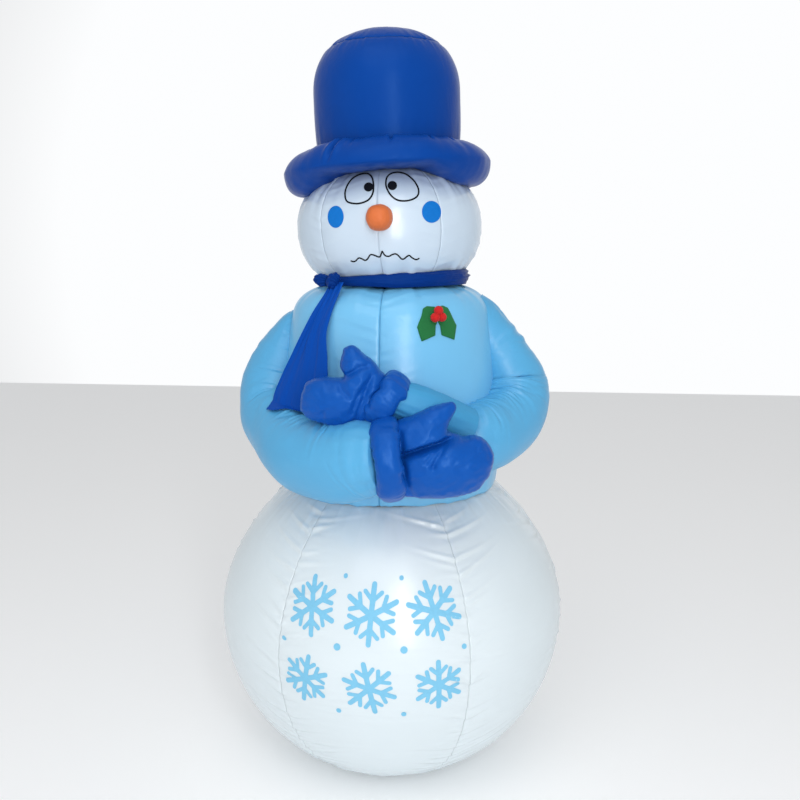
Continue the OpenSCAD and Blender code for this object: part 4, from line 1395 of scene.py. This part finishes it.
def plain_sheet(name, node, points, material, thickness, wrap=False):
    """A stretched sheet of cloth or webbing from a grid of points."""
    piece = grid_piece(name, points, material, wrap=wrap)
    thicken(piece, thickness)
    stand_for(piece, node)
    return piece


def build_base(material):
    """The tough round panel that the ball stands on, slightly rumpled."""
    edge = float(lobe(BALL_R, -BALL_Z, BALL_LOW, 2)) - 1 * MM
    r, a = np.meshgrid(np.linspace(1 * MM, edge, 40), np.radians(np.linspace(0, 360, 181)[:-1]),
                       indexing="ij")
    z = 1.5 * MM + 0.4 * MM * noise(r / 0.03, 3 + 3 * np.cos(a), 401)
    plain_sheet("base_disc_cloth", "base_panel", round_axis(r, a, z), material, 1 * MM,
                wrap=True)


def open_port(piece, z, radius):
    """Opens a round hole in a back panel for the blower's duct."""
    bm = bmesh.new()
    bm.from_mesh(piece.data)
    middles = [(f, f.calc_center_median()) for f in bm.faces]
    gone = [f for f, middle in middles if math.hypot(middle.x, middle.z - z) < radius]
    bmesh.ops.delete(bm, geom=gone, context="FACES")
    for v in bm.verts:
        away = math.hypot(v.co.x, v.co.z - z)
        if v.is_boundary and away < radius + 12 * MM:
            v.co.x *= radius / away
            v.co.z = z + (v.co.z - z) * radius / away
    bm.to_mesh(piece.data)
    bm.free()


def build_collar(material):
    """The cloth neck that is gathered round the blower's duct."""
    a, y = np.meshgrid(np.radians(np.linspace(0, 360, 241)[:-1]), np.linspace(0.3755, 0.4095, 16))
    folds = 0.45 * MM * round_noise(np.degrees(a), 5, y / 0.03, 411) * near(y - 0.3925, 16 * MM, 4)
    r = DUCT_R + 2.4 * MM + folds
    points = np.stack([r * np.cos(a), y, DUCT_Z + r * np.sin(a)], 2)
    plain_sheet("blower_collar_cloth", "blower_collar", points, material, 1.2 * MM,
                wrap=True)


# Where the four stake tabs lie about Z, and how far out their eyelets are
STAKE_ANGLES = [20, 70, 110, 160]
STAKE_AT = 0.262
STAKE_HOLE = 8 * MM


def build_stake_tabs(material):
    """Webbing tabs on the ground, each with a hole for its eyelet."""
    start = float(lobe(BALL_R, 2.4 * MM - BALL_Z, BALL_LOW, 2)) + 1 * MM
    end = STAKE_AT + 16 * MM
    for i, turn in enumerate(STAKE_ANGLES):
        corners = [(start, -14 * MM), (end - 3 * MM, -14 * MM), (end, -11 * MM), (end, 11 * MM),
                   (end - 3 * MM, 14 * MM), (start, 14 * MM)]
        points, faces, _ = fill(closed_curve(corners, 2 * MM, sharp=True), 2 * MM)
        c, s = math.cos(math.radians(turn)), math.sin(math.radians(turn))
        faces = [f for f in faces
                 if math.hypot(points[list(f), 0].mean() - STAKE_AT, points[list(f), 1].mean()) > STAKE_HOLE]
        x, y = points[:, 0], points[:, 1]
        z = 1.9 * MM + 0.25 * MM * noise(x / 0.012, y / 0.009 + 5, 421 + i)
        verts = np.stack([x * c - y * s, x * s + y * c, z], 1)
        piece = mesh_piece(f"stake_tab_{i + 1}", verts, faces, material)
        outward_faces(piece)
        thicken(piece, 1.7 * MM)
        stand_for(piece, "stake_tabs")


TETHER = (0.112, 0.266, 1.062)  # the axis of a D ring's straight side


def build_tether_tabs(material):
    """Webbing loops on the back, folded round the straight side of each ring."""
    x, y, z = TETHER
    loop = [(y - 33 * MM, 1.3 * MM), (y - 20 * MM, 1.6 * MM), (y - 8 * MM, 2.4 * MM)]
    loop += [(y + 3.2 * MM * math.cos(a), 3.2 * MM * math.sin(a))
             for a in np.radians(np.arange(100, -101, -20))]
    loop += [(y - 8 * MM, -2.4 * MM), (y - 20 * MM, -1.6 * MM), (y - 33 * MM, -1.3 * MM)]
    line = smooth_path(loop, 80)
    for name, side in (("tether_tab_right", -1), ("tether_tab_left", 1)):
        w = np.linspace(-12.3 * MM, 12.3 * MM, 14)
        points = np.stack(np.broadcast_arrays(side * x + w[None], line[:, :1], z + line[:, 1:]), 2)
        piece = plain_sheet(name, "tether_tabs", points, material, 0.9 * MM)
        piece.modifiers["thickness"].offset = 0.0


def build_zipper_tapes(material):
    """The two woven tapes that the zipper's teeth are set along."""
    for name, low in (("zipper_tape_upper", 1.5 * MM), ("zipper_tape_lower", -15.5 * MM)):
        a, h = np.meshgrid(np.radians(np.linspace(89.4 - ZIP_HALF, 90.6 + ZIP_HALF, 120)),
                           np.linspace(0, 14 * MM, 10), indexing="ij")
        r = BALL_R + 1.7 * MM + 0.15 * MM * noise(np.degrees(a) / 0.8, h / 0.004, 431)
        points = np.stack([r * np.cos(a), r * np.sin(a), ZIP_Z + low + h], 2)
        piece = plain_sheet(name, "zipper_tapes", points, material, 0.9 * MM)
        outward_faces(piece)


# The light string's way from the blower's mount up to the crown, in mm, as in the CAD model
LIGHT_ROUTE = np.array([
    [0, 352, 316.2], [0, 352, 330], [3, 362, 352], [4, 380, 382], [0, 394, 430], [-4, 396, 480],
    [0, 378, 540], [4, 346, 600], [4, 290, 670], [0, 222, 735], [-4, 226, 800], [0, 240, 880],
    [4, 236, 980], [0, 224, 1080], [-4, 206, 1160], [-2, 168, 1205], [0, 126, 1236],
    [-2, 150, 1270], [-8, 192, 1340], [-10, 190, 1430], [-14, 150, 1540]
]) * MM
CORD_D = 4 * MM


def build_light_cord(material):
    path = smooth_path(LIGHT_ROUTE, 320)
    _, side, up = frames_along(path, (1.0, 0.1, 0))
    a = full_turn(12)
    ring = np.cos(a)[None, :, None] * side[:, None] + np.sin(a)[None, :, None] * up[:, None]
    points = path[:, None] + CORD_D / 2 * ring
    piece = grid_piece("light_cord_jacket", points, material, wrap=True, capped=True)
    outward_faces(piece)
    stand_for(piece, "light_cord")


def finish_hard_parts():
    """Gives the kept CAD parts their materials."""
    finishes = [
        (make_metal("bright_steel", (0.60, 0.61, 0.63), 0.28),
         ["zipper_stops", "zipper_slider", "zipper_pull", "motor_case", "motor_shaft", "motor_bearings",
          "blower_screws", "stake_eyelets", "tether_ring_right", "tether_ring_left"]),
        (make_plastic("black_moulding", (0.018, 0.019, 0.021)),
         ["blower_duct", "blower_intake_grille", "blower_motor_mount", "impeller", "power_inlet"]),
        (make_metal("enamelled_copper", (0.70, 0.28, 0.11), 0.35), ["motor_stator"]),
        (make_metal("pressed_iron", (0.24, 0.24, 0.25), 0.5), ["motor_rotor"]),
        (make_plastic("zip_teeth", (0.58, 0.64, 0.70)), ["zipper_teeth"]),
        (make_plastic("lamp_holder", (0.012, 0.08, 0.03)), ["light_sockets"]),
        (make_lens("lamp_cover", (0.90, 0.93, 1.0)), ["light_lenses"]),
        (make_webbing("ribbon_weave", (0.55, 0.62, 0.68)), ["light_tabs"]),
    ]
    for material, nodes in finishes:
        for node in nodes:
            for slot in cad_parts[node].material_slots:
                slot.material = material


# ---------- build ----------

scene.view_settings.view_transform = "Standard"
add_camera()
add_lights()
add_floor()

white = make_cloth("white_cloth", WHITE, roughness=0.27, crinkle=0.14, mottle=0.02, gloss=0.75)
# The head's cloth takes the darker copy of the white: painted shade.
head_white_shaded = make_cloth("shaded_head_cloth", HEAD_WHITE_SHADED, roughness=0.26, crinkle=0.2, mottle=0.02, crumple=0.04,
                        gloss=0.95)
sky = make_cloth("sky_cloth", SKY, roughness=0.28, crinkle=0.25, mottle=0.03, crumple=0.05)
# The sleeves' cloth is the darker copy of the sky blue: painted shade.
sleeve = make_cloth("sleeve_cloth", SLEEVE_SHADED, roughness=0.36, crinkle=0.35, mottle=0.04, crumple=0.1)
# The forearm's cloth: the darker copy of the sky blue as painted shade, and a rougher finish.
sky_dull_shaded = make_cloth("sky_dull_shaded_cloth", SKY_DULL_SHADED, roughness=0.5, crinkle=0.35, crumple=0.1, gloss=0.3)
royal = make_cloth("royal_cloth", ROYAL, roughness=0.33, crinkle=0.35, gloss=0.16, crumple=0.08,
                   glint=BLUE_GLINT)
mitten = make_cloth("mitten_weave", MITTEN, roughness=0.30, crinkle=0.7, gloss=0.40, crumple=0.22,
                    glint=BLUE_GLINT)
scarf = make_cloth("scarf_weave", SCARF, roughness=0.42, crinkle=0.4, gloss=0.12, crumple=0.15,
                   glint=BLUE_GLINT)
# The hanging end takes the lighter copy of the scarf's blue: painted light.
scarf_end_lit = make_cloth("scarf_end_lit_weave", SCARF_END_LIT, roughness=0.42, crinkle=0.4, gloss=0.12, crumple=0.12,
                       glint=BLUE_GLINT)
orange = make_cloth("orange_cloth", (0.66, 0.16, 0.045), roughness=0.5, crinkle=0.4, gloss=0.25, crumple=0.1)
ink_black = make_print("black_ink", (0.008, 0.009, 0.012))
ink_blue = make_print("blue_ink", (0.004, 0.16, 0.55))
ink_pale = make_print("pale_blue_ink", (0.215, 0.545, 0.77))
leaf_felt = make_felt("leaf_felt", (0.005, 0.15, 0.035))
berry_red = make_felt("red_yarn", (0.56, 0.006, 0.006))

strap = make_webbing("strap_weave", (0.016, 0.018, 0.022))
tape = make_webbing("tape_weave", (0.55, 0.61, 0.68))
base = make_webbing("base_weave", (0.03, 0.035, 0.045))
cord_green = make_plastic("cord_jacket", (0.02, 0.13, 0.045))

build_base(base)
ball = build_ball(white)
open_port(bpy.data.objects["ball_back_cloth"], DUCT_Z, DUCT_R + 2 * MM)
build_torso(sky)
head = build_head(head_white_shaded)
build_hat(royal)
build_arms(sleeve, sky_dull_shaded)
build_hand("right_mitten_cloth", "right_mitten", RIGHT_HAND, RIGHT_HAND_AT, RIGHT_CREASES, mitten, 301)
build_hand("left_mitten_cloth", "left_mitten", LEFT_HAND, LEFT_HAND_AT, LEFT_CREASES, mitten, 321)
build_cuff("right_cuff_cloth", "right_mitten_cuff", (35, -379, 872), (0.985, 0.10, 0.13), 71, 25, mitten, 341,
           squash=(0.95, 1.2))
build_cuff("left_cuff_cloth", "left_mitten_cuff", (24, -337, 995), (0.80, 0.10, -0.56), 42, 24, mitten, 351,
           squash=(1, 1.25))
build_scarf(scarf, scarf_end_lit)
build_nose(orange)
build_face(Skin(head), ink_black, ink_blue)
build_flakes(Skin(ball), ink_pale)
chest = Skin([bpy.data.objects["torso_front_left_cloth"]])
build_holly(chest, leaf_felt)
build_berries(berry_red)

build_collar(white)
build_stake_tabs(strap)
build_tether_tabs(strap)
build_zipper_tapes(tape)
build_light_cord(cord_green)
finish_hard_parts()
